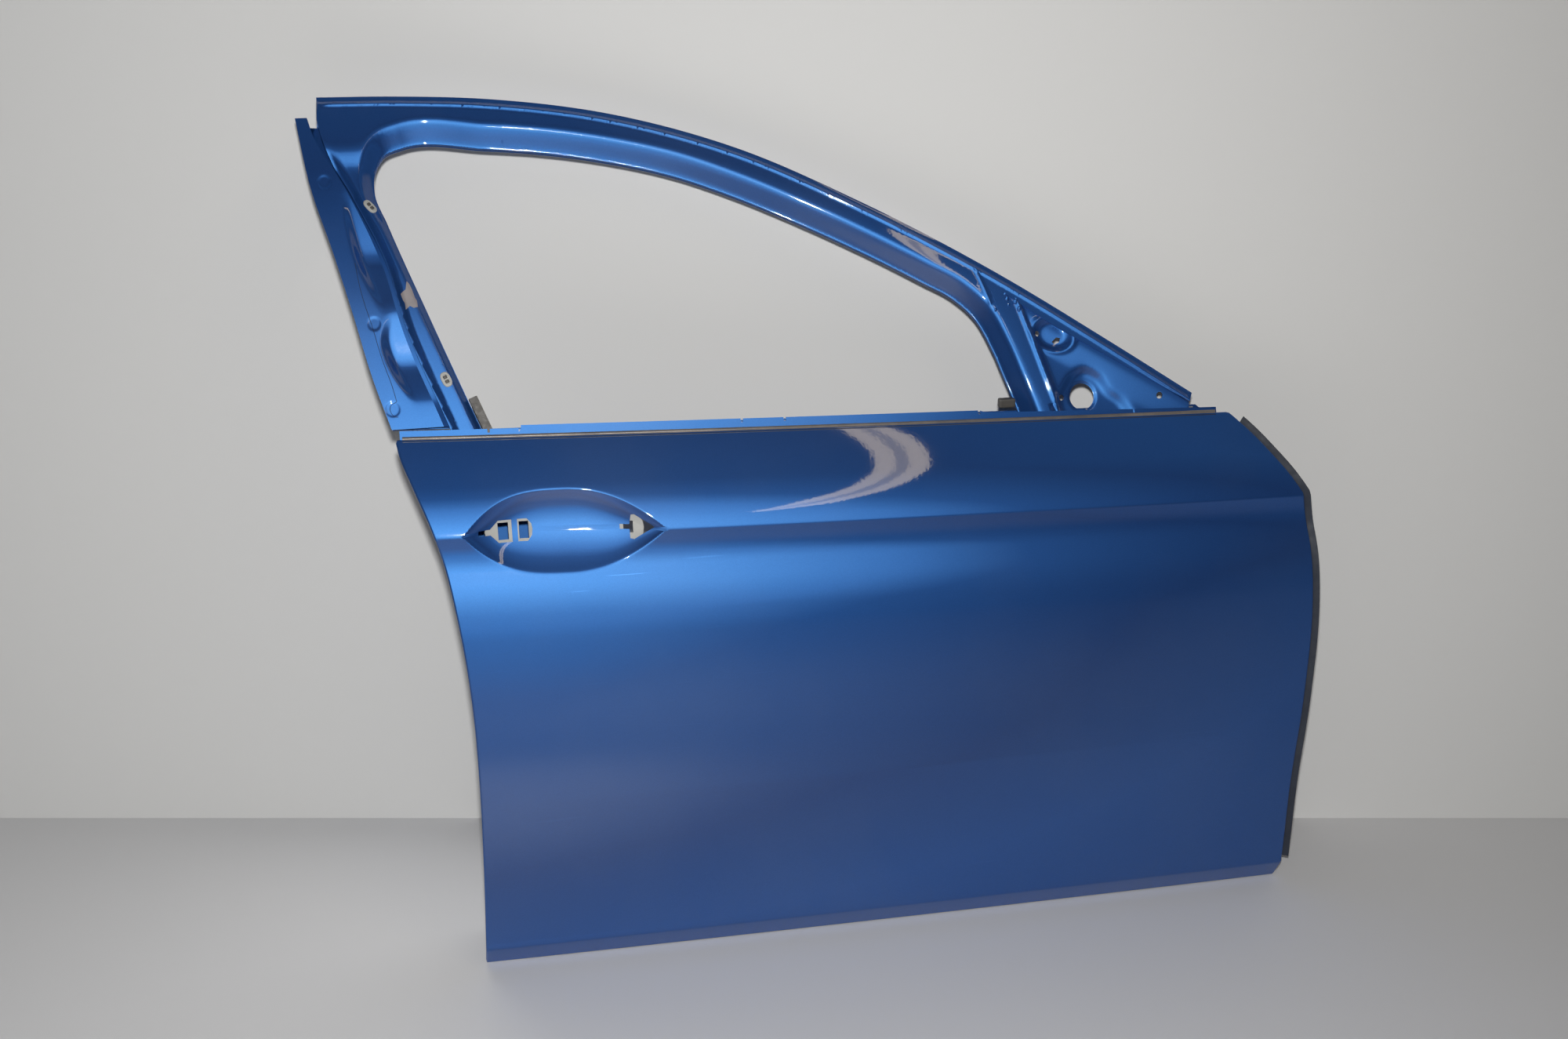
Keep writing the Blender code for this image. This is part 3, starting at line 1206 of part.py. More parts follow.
def frame_bracket(name, x):
    """Z-shaped bracket from the box of a frame leg to the floor of the pan."""
    behind = BOX_DEPTH_LOW + FRAME_STACK
    in_front = FRAME_SHEET + SEAT_GAP
    rows = []
    for side in (-BRACKET_HALF, BRACKET_HALF):
        row = [frame_point(x + side, z, behind) for z in BRACKET_SEAT]
        row += [Vector((x + side, pan_y(z) - in_front, z)) for z in BRACKET_FOOT]
        rows.append(row)
    return lofted_sheet(name, BARE_ALUMINIUM, FRAME_SHEET, rows)


outer_skin()
inner_panel()
frame_outer()
frame_inner()
b_pillar_plate()
sail_panel()
mirror_reinforcement()
outer_belt_reinforcement()
inner_belt_reinforcement()
impact_beam()
beam_bracket("beam_bracket_front", BEAM_FRONT, BEAM_FRONT[0] - BRACKET_LAP, HINGE_X, 1)
beam_bracket("beam_bracket_rear", BEAM_REAR, BEAM_REAR[0] + BRACKET_LAP, LOCK_X, -1)
hinge_reinforcement("upper_hinge_reinforcement", HINGE_UPPER)
hinge_reinforcement("lower_hinge_reinforcement", HINGE_LOWER)
check_strap_reinforcement()
lock_reinforcement()
handle_carrier()
rear_guide_channel()
front_guide_channel()
block_on_frame("upper_frame_clip", GREY_PLASTIC, *UPPER_CLIP, CLIP_SIZE, CLIP_BEVEL)
block_on_frame("lower_frame_clip", GREY_PLASTIC, *LOWER_CLIP, CLIP_SIZE, CLIP_BEVEL)
guide_foot()
front_gap_seal()
damping_pad("upper_damping_pad", *UPPER_PAD_BOX)
damping_pad("lower_damping_pad", *LOWER_PAD_BOX)
for number, share in enumerate(MASTIC_SHARES, 1):
    mastic_bead(f"mastic_bead_{number}", share)
for number, hole in enumerate(PLUG_HOLES, 1):
    access_plug(f"access_plug_{number}", hole)
frame_bracket("rear_frame_bracket", REAR_BRACKET_X)
frame_bracket("front_frame_bracket", FRONT_BRACKET_X)
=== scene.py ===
import json
import math

import bmesh
import bpy
import numpy as np
from mathutils import Matrix, Vector
from mathutils.bvhtree import BVHTree
from mathutils.geometry import delaunay_2d_cdt

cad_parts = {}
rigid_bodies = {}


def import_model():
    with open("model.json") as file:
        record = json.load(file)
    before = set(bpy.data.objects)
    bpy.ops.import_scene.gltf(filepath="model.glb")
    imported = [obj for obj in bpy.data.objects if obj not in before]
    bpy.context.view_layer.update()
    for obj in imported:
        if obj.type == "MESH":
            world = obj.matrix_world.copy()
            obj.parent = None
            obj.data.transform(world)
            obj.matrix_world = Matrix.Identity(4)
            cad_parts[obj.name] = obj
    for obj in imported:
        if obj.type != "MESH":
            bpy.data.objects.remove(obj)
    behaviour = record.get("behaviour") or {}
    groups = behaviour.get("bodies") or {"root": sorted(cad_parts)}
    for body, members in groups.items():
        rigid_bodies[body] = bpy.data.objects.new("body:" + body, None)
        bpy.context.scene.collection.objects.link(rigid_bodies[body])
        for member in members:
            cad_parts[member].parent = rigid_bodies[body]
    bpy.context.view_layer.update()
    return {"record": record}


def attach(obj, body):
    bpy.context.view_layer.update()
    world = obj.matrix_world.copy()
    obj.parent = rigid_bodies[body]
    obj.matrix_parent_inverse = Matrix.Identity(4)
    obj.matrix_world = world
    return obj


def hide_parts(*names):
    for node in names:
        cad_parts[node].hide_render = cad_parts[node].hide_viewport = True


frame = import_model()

# The studio. The door stands on its lower edge and leans back against a painted wall, so the
# floor and the wall are tilted in the door's own frame. A flash above the camera, a warm double
# strip on the ceiling, a spot on the floor and a soft lamp behind the door light it.
ROOM_UP = Vector((0.0, -0.10453, 0.99452))
ROOM_RIGHT = Vector((0.98174, -0.18920, -0.01989))
ROOM_BACK = Vector((0.19024, 0.97636, 0.10262))
FLOOR_POINT = Vector((-1.0860, -0.0450, -0.4700))
FLOOR_LEFT, FLOOR_RIGHT, FLOOR_FRONT = -5.0, 6.0, -6.0
WALL_BACK, WALL_LEAN, WALL_HEIGHT = 0.359, 0.145, 3.2
WALL_TOP_BACK = WALL_BACK + WALL_LEAN * WALL_HEIGHT
FLOOR_COLOR, WALL_COLOR = (0.62, 0.62, 0.63), (0.66, 0.66, 0.655)
CAMERA_PLACE = Vector((-1.10083, -2.32752, 0.81847))
CAMERA_RIGHT = Vector((0.98174, -0.18920, -0.01989))
CAMERA_UP = Vector((0.07403, 0.28363, 0.95607))
CAMERA_AHEAD = Vector((0.17525, 0.94008, -0.29246))
FLASH_RISE, FLASH_SIZE, FLASH_COLOR = 0.13, 0.035, (1.0, 0.99, 0.97)
CEILING = 2.80
STRIP_OUTER = [(1.15, -0.405), (1.227, -0.418), (1.30, -0.433), (1.366, -0.461), (1.418, -0.505),
               (1.45, -0.565), (1.476, -0.704), (1.54, -1.074), (1.584, -1.469), (1.608, -2.018),
               (1.551, -2.322), (1.495, -2.565)]
STRIP_INNER = [(1.02, -0.420), (1.089, -0.435), (1.157, -0.457), (1.226, -0.505), (1.269, -0.55),
               (1.29, -0.594), (1.321, -0.754), (1.382, -1.114), (1.416, -1.443), (1.429, -1.816),
               (1.45, -2.143), (1.446, -2.456)]
STRIP_LANES = [0.0, 0.38, 0.62, 1.0]


def room_point(right, back, up):
    """Point of the room, from the spot of the floor below the door's lower rear corner."""
    return FLOOR_POINT + ROOM_RIGHT * right + ROOM_BACK * back + ROOM_UP * up


def feed(tree, node, inputs):
    """Give each input of a node its value, or link it to another node's output."""
    for label, value in inputs.items():
        if isinstance(value, bpy.types.NodeSocket):
            tree.links.new(value, node.inputs[label])
        else:
            node.inputs[label].default_value = value


def add_node(tree, kind, inputs, **settings):
    """Shader node of a kind with its settings and inputs."""
    node = tree.nodes.new("ShaderNode" + kind)
    for label, value in settings.items():
        setattr(node, label, value)
    feed(tree, node, inputs)
    return node


def new_material(name):
    """Material, its node tree and its Principled shader."""
    material = bpy.data.materials.new(name)
    material.use_nodes = True
    return material, material.node_tree, material.node_tree.nodes["Principled BSDF"]


def mixed(tree, factor, one, other, blend='MIX'):
    """Colour mixed from two colours."""
    return add_node(tree, "Mix", {"Factor": factor, "A": one, "B": other}, data_type='RGBA',
                    blend_type=blend).outputs["Result"]


def new_object(name, data, placing=Matrix()):
    piece = bpy.data.objects.new(name, data)
    piece.matrix_world = placing
    bpy.context.scene.collection.objects.link(piece)
    return piece


def new_mesh(name, vertices, faces, *materials):
    mesh = bpy.data.meshes.new(name)
    mesh.from_pydata([tuple(vertex) for vertex in vertices], [], faces)
    for material in materials:
        mesh.materials.append(material)
    return mesh


def placed(point, right, up, ahead):
    """Placing of a camera or lamp that looks ahead from a point."""
    return Matrix.Translation(point) @ Matrix((right, up, -ahead)).transposed().to_4x4()


def lamp(name, kind, energy, point, right, ahead, **settings):
    """Lamp that shines ahead from a point."""
    light = bpy.data.lights.new(name, kind)
    light.energy = energy
    for label, value in settings.items():
        setattr(light, label, value)
    return new_object(name, light, placed(point, right, right.cross(ahead), ahead))


def pale_finish(name, color, mottle):
    """Matt wall or floor, seen through from behind so that the door's back can be looked at."""
    material, tree, shader = new_material(name)
    cloud = add_node(tree, "TexNoise", {"Scale": 1.6, "Detail": 4.0})
    tones = [(*[part * (1 + shift) for part in color], 1) for shift in (-mottle, mottle)]
    feed(tree, shader, {"Roughness": 0.62, "Base Color": mixed(tree, cloud.outputs["Fac"], *tones)})
    side = add_node(tree, "NewGeometry", {})
    clear = add_node(tree, "BsdfTransparent", {})
    through = add_node(tree, "MixShader", {0: side.outputs["Backfacing"], 1: shader.outputs[0],
                                           2: clear.outputs[0]})
    feed(tree, tree.nodes["Material Output"], {"Surface": through.outputs[0]})
    return material


def glow_finish(name, strength):
    material, tree, shader = new_material(name)
    feed(tree, shader, {"Base Color": (0.8, 0.8, 0.8, 1), "Emission Color": (1.0, 0.82, 0.56, 1),
                        "Emission Strength": strength})
    return material


def studio_plane(name, corners, material):
    plane = new_object(name, new_mesh(name, [room_point(*corner) for corner in corners],
                                      [(0, 1, 2, 3)], material))


studio_plane("floor", [(FLOOR_LEFT, FLOOR_FRONT, 0), (FLOOR_RIGHT, FLOOR_FRONT, 0),
                       (FLOOR_RIGHT, WALL_BACK, 0), (FLOOR_LEFT, WALL_BACK, 0)],
             pale_finish("pale_floor", FLOOR_COLOR, 0.03))
studio_plane("wall", [(FLOOR_LEFT, WALL_BACK, 0), (FLOOR_RIGHT, WALL_BACK, 0),
                      (FLOOR_RIGHT, WALL_TOP_BACK, WALL_HEIGHT),
                      (FLOOR_LEFT, WALL_TOP_BACK, WALL_HEIGHT)],
             pale_finish("pale_wall", WALL_COLOR, 0.02))

scene = bpy.context.scene
scene.view_settings.view_transform = 'Standard'
camera_data = bpy.data.cameras.new("photo_camera")
camera_data.sensor_width = 36.0
camera_data.lens = 44.1
scene.camera = new_object("photo_camera", camera_data,
                          placed(CAMERA_PLACE, CAMERA_RIGHT, CAMERA_UP, CAMERA_AHEAD))

flash_point = CAMERA_PLACE + CAMERA_UP * FLASH_RISE
flash_way = (CAMERA_AHEAD - 0.20 * CAMERA_RIGHT - 0.04 * CAMERA_UP).normalized()
flash_across = flash_way.cross(CAMERA_UP).normalized()
lamp("camera_flash", 'POINT', 105.0, flash_point, flash_across, flash_way,
     shadow_soft_size=FLASH_SIZE, color=FLASH_COLOR)
lamp("flash_reflector", 'SPOT', 100.0, flash_point, flash_across, flash_way,
     shadow_soft_size=FLASH_SIZE, color=FLASH_COLOR, spot_size=math.radians(104), spot_blend=1.0)
lamp("floor_spot", 'SPOT', 72.0, room_point(0.16, -0.88, 1.3),
     (-ROOM_UP).cross(ROOM_BACK).normalized(), -ROOM_UP, shadow_soft_size=0.15,
     spot_size=math.radians(52), spot_blend=1.0)
back_softbox = lamp("back_softbox", 'AREA', 4.0, room_point(0.10, WALL_BACK + 0.07, 0.70),
                    ROOM_RIGHT, (WALL_LEAN * ROOM_UP - ROOM_BACK).normalized(),
                    shape='RECTANGLE', size=0.9, size_y=0.9)
back_softbox.visible_camera = False
back_softbox.visible_glossy = False

strip_points = [
    room_point(outer[0] + (inner[0] - outer[0]) * share, outer[1] + (inner[1] - outer[1]) * share,
               CEILING)
    for outer, inner in zip(STRIP_OUTER, STRIP_INNER) for share in STRIP_LANES]
strip_faces = [(4 * i + lane, 4 * i + lane + 1, 4 * i + lane + 5, 4 * i + lane + 4)
               for i in range(len(STRIP_OUTER) - 1) for lane in range(3)]
mesh = new_mesh("ceiling_strip", strip_points, strip_faces, glow_finish("warm_glow", 5.5),
                glow_finish("dim_glow", 2.6))
for face in mesh.polygons:
    face.material_index = 1 if face.index % 3 == 1 else 0
ceiling_strip = new_object("ceiling_strip", mesh)

world = bpy.data.worlds.new("dim_room")
world.use_nodes = True
room_tree = world.node_tree
sky = room_tree.nodes["Background"]
feed(room_tree, sky, {"Color": (0.62, 0.78, 1.0, 1), "Strength": 0.04})
pale = add_node(room_tree, "Background", {"Color": (0.55, 0.55, 0.55, 1)})
rays = add_node(room_tree, "LightPath", {})
seen = add_node(room_tree, "MixShader", {0: rays.outputs["Is Camera Ray"],
                                         1: sky.outputs["Background"],
                                         2: pale.outputs["Background"]})
feed(room_tree, room_tree.nodes["World Output"], {"Surface": seen.outputs["Shader"]})
scene.world = world


# The paint: a metallic blue base coat under clear lacquer, sprayed over every pressed sheet of
# the door. Its flakes glitter a little, the lacquer has a faint orange peel, and years of use
# left hairline scratches and a thin film of dust. Its base colour also holds a painted
# highlight: lighter where a sheet faces the camera and its flash, darker as it turns away.
# Base colour by how squarely the sheet faces the eye: the paint's own flop together with a painted
# highlight from the flash beside the camera.
FLOP_AND_PAINTED_HIGHLIGHT = [(0.0, (0.057, 0.200, 0.49)), (0.030, (0.044, 0.160, 0.45)), (0.050, (0.023, 0.092, 0.30)),
        (0.110, (0.022, 0.077, 0.265)), (0.160, (0.032, 0.125, 0.41))]
DUST_COLOR = (0.30, 0.36, 0.45, 1)


def shared_group(name, inputs, outputs):
    """Node group with number inputs, and the nodes of its inputs and outputs."""
    group = bpy.data.node_groups.new(name, "ShaderNodeTree")
    for label, value in inputs:
        socket = group.interface.new_socket(label, in_out='INPUT', socket_type="NodeSocketFloat")
        socket.default_value = value
    for label, kind in outputs:
        group.interface.new_socket(label, in_out='OUTPUT', socket_type=kind)
    return group, group.nodes.new("NodeGroupInput"), group.nodes.new("NodeGroupOutput")


def ranged(tree, value, low, high, to_low=0.0, to_high=1.0):
    """A value carried over from one range to another."""
    return add_node(tree, "MapRange", {"From Min": low, "From Max": high, "To Min": to_low,
                                       "To Max": to_high, "Value": value}).outputs["Result"]


def reckoned(tree, operation, *values):
    return add_node(tree, "Math", dict(enumerate(values)), operation=operation).outputs["Value"]


def lacquer_group():
    """Orange peel as a normal; scratches, dust and flakes as masks."""
    tree, given, result = shared_group(
        "lacquer_surface", [("Peel", 0.03), ("Flake", 0.10), ("Scratch", 0.3)],
        [("Normal", "NodeSocketVector"), ("Scratch Mask", "NodeSocketFloat"),
         ("Dust Mask", "NodeSocketFloat"), ("Flake Tone", "NodeSocketFloat")])
    place = add_node(tree, "TexCoord", {}).outputs["Object"]
    peel = add_node(tree, "TexNoise", {"Scale": 210.0, "Detail": 1.0, "Vector": place})
    wave = add_node(tree, "Bump", {"Distance": 0.0004, "Strength": given.outputs["Peel"],
                                   "Height": peel.outputs["Fac"]})
    stretch = add_node(tree, "Mapping", {"Rotation": (0.0, 0.5, 0.0), "Scale": (9.0, 9.0, 260.0),
                                         "Vector": place})
    hair = add_node(tree, "TexNoise", {"Scale": 1.0, "Detail": 2.0,
                                       "Vector": stretch.outputs["Vector"]})
    thin = ranged(tree, hair.outputs["Fac"], 0.735, 0.76)
    film = add_node(tree, "TexNoise", {"Scale": 3.0, "Detail": 6.0, "Vector": place})
    grain = add_node(tree, "TexVoronoi", {"Scale": 1400.0, "Vector": place})
    parts = add_node(tree, "SeparateColor", {"Color": grain.outputs["Color"]})
    centred = reckoned(tree, 'SUBTRACT', parts.outputs["Red"], 0.5)
    feed(tree, result, {
        "Normal": wave.outputs["Normal"],
        "Scratch Mask": reckoned(tree, 'MULTIPLY', thin, given.outputs["Scratch"]),
        "Dust Mask": ranged(tree, film.outputs["Fac"], 0.45, 0.75),
        "Flake Tone": reckoned(tree, 'MULTIPLY_ADD', centred, given.outputs["Flake"], 1.0)})
    return tree


LACQUER = lacquer_group()


def blue_paint(name, scratch, dust):
    """Metallic blue under glossy lacquer, its base colour painted lighter where it faces the eye
    and the flash: the paint's flop plus a painted highlight.
    """
    material, tree, shader = new_material(name)
    surface = add_node(tree, "Group", {"Scratch": scratch}, node_tree=LACQUER)
    facing = add_node(tree, "LayerWeight", {"Blend": 0.5})
    flop_with_painted_highlight = add_node(tree, "ValToRGB", {"Fac": facing.outputs["Facing"]})
    while len(flop_with_painted_highlight.color_ramp.elements) < len(FLOP_AND_PAINTED_HIGHLIGHT):
        flop_with_painted_highlight.color_ramp.elements.new(0.5)
    for element, (place, color) in zip(flop_with_painted_highlight.color_ramp.elements, FLOP_AND_PAINTED_HIGHLIGHT):
        element.position = place
        element.color = (*color, 1)
    tone = mixed(tree, 1.0, flop_with_painted_highlight.outputs["Color"], surface.outputs["Flake Tone"], 'MULTIPLY')
    film = reckoned(tree, 'MULTIPLY', surface.outputs["Dust Mask"], dust)
    feed(tree, shader, {
        "Metallic": 1.0, "Coat Weight": 1.0, "Coat Roughness": 0.035, "Coat IOR": 1.5,
        "Base Color": mixed(tree, film, tone, DUST_COLOR),
        "Roughness": reckoned(tree, 'MULTIPLY_ADD', surface.outputs["Scratch Mask"], -0.2, 0.60),
        "Normal": surface.outputs["Normal"], "Coat Normal": surface.outputs["Normal"]})
    return material


SKIN_PAINT = blue_paint("blue_skin_paint", 0.3, 0.06)
FRAME_PAINT = blue_paint("blue_frame_paint", 0.1, 0.10)


# The bare and moulded finishes of the fittings: mill aluminium of the stiffeners with a rolling
# grain and dull oxide, black rubber with bloom, grey and black plastic with a fine moulded grain,
# and open-cell foam.
def worn_group():
    """Cloudy patches, a rolled or moulded grain, and the relief of grain and pores."""
    tree, given, result = shared_group(
        "worn_surface", [("Grain Along", 400.0), ("Grain Across", 30.0), ("Pores", 600.0),
                         ("Relief", 0.1)],
        [("Grain", "NodeSocketFloat"), ("Cloud", "NodeSocketFloat"),
         ("Normal", "NodeSocketVector")])
    place = add_node(tree, "TexCoord", {}).outputs["Object"]
    along = given.outputs["Grain Along"]
    ratios = add_node(tree, "CombineXYZ", {"X": given.outputs["Grain Across"], "Y": along,
                                           "Z": along})
    stretch = add_node(tree, "Mapping", {"Vector": place, "Scale": ratios.outputs["Vector"]})
    grain = add_node(tree, "TexNoise", {"Scale": 1.0, "Detail": 3.0,
                                        "Vector": stretch.outputs["Vector"]}).outputs["Fac"]
    cloud = add_node(tree, "TexNoise", {"Scale": 14.0, "Detail": 5.0, "Roughness": 0.6,
                                        "Vector": place})
    pore = add_node(tree, "TexVoronoi", {"Vector": place, "Scale": given.outputs["Pores"]})
    height = reckoned(tree, 'ADD', grain, pore.outputs["Distance"])
    relief = add_node(tree, "Bump", {"Distance": 0.0004, "Strength": given.outputs["Relief"],
                                     "Height": height})
    feed(tree, result, {"Grain": grain, "Cloud": cloud.outputs["Fac"],
                        "Normal": relief.outputs["Normal"]})
    return tree


WORN = worn_group()


def worn_finish(name, color, clouded, metallic, smooth, rough, grain, pores, relief):
    """Finish whose colour shifts between two tones and whose roughness follows the grain."""
    material, tree, shader = new_material(name)
    surface = add_node(tree, "Group", {"Grain Along": grain[0], "Grain Across": grain[1],
                                       "Pores": pores, "Relief": relief}, node_tree=WORN)
    patches = ranged(tree, surface.outputs["Cloud"], 0.35, 0.68)
    feed(tree, shader, {
        "Metallic": metallic, "Normal": surface.outputs["Normal"],
        "Base Color": mixed(tree, patches, (*color, 1), (*clouded, 1)),
        "Roughness": ranged(tree, surface.outputs["Grain"], 0.30, 0.70, smooth, rough)})
    return material


FINISHES = {
    "blue_paint": FRAME_PAINT,
    "bare_aluminium": worn_finish("mill_aluminium", (0.60, 0.61, 0.63), (0.44, 0.45, 0.47), 1.0,
                                  0.32, 0.50, (420.0, 22.0), 900.0, 0.08),
    "black_rubber": worn_finish("seal_rubber", (0.009, 0.014, 0.027), (0.016, 0.022, 0.038), 0.0,
                                0.55, 0.72, (90.0, 60.0), 1300.0, 0.25),
    "grey_plastic": worn_finish("grey_moulding", (0.42, 0.42, 0.40), (0.34, 0.34, 0.32), 0.0,
                                0.42, 0.58, (300.0, 300.0), 1500.0, 0.15),
    "dark_plastic": worn_finish("black_moulding", (0.045, 0.042, 0.040), (0.075, 0.068, 0.060), 0.0,
                                0.40, 0.58, (260.0, 260.0), 1500.0, 0.20),
    "foam_pad": worn_finish("open_foam", (0.15, 0.15, 0.155), (0.10, 0.10, 0.105), 0.0,
                            0.88, 0.97, (500.0, 500.0), 420.0, 0.9)}
for part in frame["record"]["subparts"]:
    node = bpy.data.objects[part["node"]]
    for i in range(len(node.material_slots)):
        node.material_slots[i].material = FINISHES[part["material_slot"]]


# The outer skin: one aluminium pressing 1.2 mm thick. It hollows below the crease, leans far
# inboard above it, and its edge is hemmed all round over the flange of the inner panel. The
# almond-shaped handle recess sits on the crease and has three cut-outs.
ORIGIN = np.array((1.085 + 0.0014 * math.sqrt(0.5), 0.045, 0.470))
REAR_EDGE = [(0.0, 0.0), (0.16, 0.006), (0.27, 0.008), (0.37, 0.006), (0.47, -0.003),
             (0.55, -0.016), (0.60, -0.030), (0.645, -0.048), (0.675, -0.060), (0.71, -0.066)]
FRONT_EDGE_LOW = [(0.0, 1.104), (0.04, 1.106), (0.15, 1.112), (0.27, 1.126), (0.40, 1.135),
                  (0.48, 1.132), (0.56, 1.122)]
FRONT_CORNER = 0.556
FRONT_EDGE_HIGH = [(0.556, 1.1225), (0.583, 1.105), (0.605, 1.088), (0.629, 1.068), (0.67, 1.026)]
SILL_FOLD = 0.030
SKIN_TILTS = [(-0.62, -4.0), (-0.40, 1.0), (-0.28, 3.0), (-0.13, 4.5), (-0.10, 7.0), (-0.08, 12.0),
              (-0.060, 18.0), (-0.045, 18.0), (-0.030, 6.0), (-0.014, -1.0), (-0.0018, -3.0),
              (0.0018, 18.0), (0.016, 25.0), (0.036, 32.0), (0.056, 38.0), (0.16, 40.0)]
RECESS_MIDDLE, RECESS_HALF, RECESS_HEIGHT, RECESS_DEPTH = 0.136, 0.126, 0.050, 0.015
LATCH_CUT = [(0.029, 0.0032), (0.044, 0.0036), (0.054, 0.0135), (0.071, 0.0135),
             (0.071, -0.0135), (0.054, -0.0135), (0.044, -0.0036), (0.029, -0.0032)]
LOCK_CUT = [(0.078, 0.0135), (0.090, 0.0135), (0.0955, 0.007), (0.0965, 0.0),
            (0.0955, -0.007), (0.090, -0.0135), (0.078, -0.0135)]
PIVOT_CUT = [(0.205, 0.003), (0.217, 0.003), (0.219, 0.0155), (0.223, 0.0163), (0.248, 0.0008),
             (0.222, -0.0145), (0.217, -0.0138), (0.217, -0.003), (0.205, -0.003)]
HEM_RADIUS, HEM_LIP, SKIN_SHEET = 0.0024, 0.009, 0.0012
CREASE_Z, CREASE_FALL, BELT_Z, BELT_FALL = 0.583, 0.026, 0.692, 0.031
TILT_STEP, FOLD_SLOPE, FOLD_SOFT, RECESS_SOFT = 0.00025, 0.70, 0.0016, 0.0011
BOW, BOW_MIDDLE, BOW_REACH = 0.010, 0.55, 0.60
CREASE_ROWS = (-0.0024, -0.0012, 0.0, 0.0012, 0.0024)
FOLD_ROWS = (0.0275, 0.0290, 0.0305, 0.0320)


def smooth_at(knots, at):
    """Smooth curve through (place, value) knots."""
    places, values = np.array(knots, dtype=float).T
    slopes = np.gradient(values, places)
    at = np.clip(np.asarray(at, dtype=float), places[0], places[-1])
    i = np.clip(np.searchsorted(places, at) - 1, 0, len(places) - 2)
    span = places[i + 1] - places[i]
    t = (at - places[i]) / span
    start, end = values[i], values[i + 1]
    leave, arrive = slopes[i] * span, slopes[i + 1] * span
    cubic = 2 * start - 2 * end + leave + arrive
    square = 3 * end - 3 * start - 2 * leave - arrive
    return ((cubic * t + square) * t + leave) * t + start


def crease_z(x):
    return CREASE_Z - CREASE_FALL * x


def belt_z(x):
    return BELT_Z - BELT_FALL * x


def front_x(z):
    return np.where(z > FRONT_CORNER, smooth_at(FRONT_EDGE_HIGH, z), smooth_at(FRONT_EDGE_LOW, z))


TILT_HEIGHTS = np.arange(-0.62, 0.16, TILT_STEP)
TILT_DEPTHS = np.cumsum(np.tan(np.radians(np.interp(TILT_HEIGHTS, *zip(*SKIN_TILTS))))) * TILT_STEP


def section_y(height):
    return np.interp(height, TILT_HEIGHTS, TILT_DEPTHS)


SILL_Y = float(section_y(SILL_FOLD - CREASE_Z)) + FOLD_SLOPE * SILL_FOLD


def plain_skin_y(x, z):
    above = 0.5 * ((z - SILL_FOLD) + np.sqrt((z - SILL_FOLD) ** 2 + FOLD_SOFT ** 2))
    high = SILL_FOLD + above
    bow = BOW * np.minimum(1.0, 0.3 + high * 3.0)
    bow_shape = ((x - BOW_MIDDLE) / BOW_REACH) ** 2 - (BOW_MIDDLE / BOW_REACH) ** 2
    return section_y(high - crease_z(x)) - SILL_Y + bow * bow_shape + FOLD_SLOPE * (high - z)


def recess_half(x):
    along = np.clip((x - RECESS_MIDDLE) / RECESS_HALF, -1.0, 1.0)
    power = np.where(along < 0, 3.0, 2.2)
    return RECESS_HEIGHT * (1 - np.abs(along) ** power)


def skin_y(x, z):
    """Plain skin, pressed in at the handle recess, with a soft rim."""
    x, z = np.asarray(x, dtype=float), np.asarray(z, dtype=float)
    plain = plain_skin_y(x, z)
    half = recess_half(x)
    size = np.maximum(half, 1e-4)
    upper = plain_skin_y(x, crease_z(x) + size)
    lower = plain_skin_y(x, crease_z(x) - size)
    across = (z - crease_z(x)) / size
    share = size / RECESS_HEIGHT
    bowl = lower + (upper - lower) * (across + 1) / 2
    bowl = bowl + RECESS_DEPTH * share ** 0.8 * (1 - across * across)
    deeper = np.clip(bowl - plain, -1.0, 1.0)
    soft = RECESS_SOFT * share ** 0.6
    pressed = 0.5 * (deeper + np.sqrt(deeper * deeper + soft * soft))
    return plain + np.where(half > 1e-4, pressed, 0.0)


def spread(points, spacing):
    """Points a spacing apart on the smooth curve through the given points."""
    points = np.asarray(points, dtype=float)
    steps = np.linalg.norm(np.diff(points, axis=0), axis=1)
    lengths = np.concatenate(([0.0], np.cumsum(steps)))
    count = max(2, round(lengths[-1] / spacing))
    places = np.linspace(0.0, lengths[-1], count + 1)
    return np.stack([smooth_at(list(zip(lengths, points[:, axis])), places) for axis in (0, 1)],
                    axis=1)


def straight(points, spacing):
    """Points a spacing apart on the straight runs of a closed loop, keeping its corners."""
    out = []
    loop = [np.array(point, dtype=float) for point in points]
    for start, end in zip(loop, loop[1:] + loop[:1]):
        count = max(1, round(float(np.linalg.norm(end - start)) / spacing))
        out.extend(start + (end - start) * i / count for i in range(count))
    return np.array(out)


def within(loop, points):
    """Which points lie inside a closed loop."""
    loop = np.asarray(loop)
    crossed = np.zeros(len(points), dtype=bool)
    x, z = points[:, 0], points[:, 1]
    for (ax, az), (bx, bz) in zip(loop, np.roll(loop, -1, axis=0)):
        if az == bz:
            continue
        crossed ^= ((az > z) != (bz > z)) & (x < ax + (z - az) * (bx - ax) / (bz - az))
    return crossed


def away_from(line, points):
    """Distance of each point to a line of points."""
    line = np.asarray(line)
    best = np.full(len(points), 1e9)
    for start, end in zip(line[:-1], line[1:]):
        run = end - start
        share = np.clip(((points - start) @ run) / max(float(run @ run), 1e-18), 0.0, 1.0)
        best = np.minimum(best, np.linalg.norm(points - (start + share[:, None] * run), axis=1))
    return best


def ring(loop):
    return np.vstack((loop, loop[:1]))


def net(x0, x1, z0, z1, spacing):
    """Points of a triangular net in a box."""
    rows = np.arange(z0, z1, spacing * 0.866)
    columns = np.arange(x0, x1, spacing)
    grid = [np.column_stack((columns + (spacing / 2 if i % 2 else 0.0), np.full(len(columns), z)))
            for i, z in enumerate(rows)]
    return np.vstack(grid)


def unit(ways):
    return ways / np.linalg.norm(ways, axis=1)[:, None]


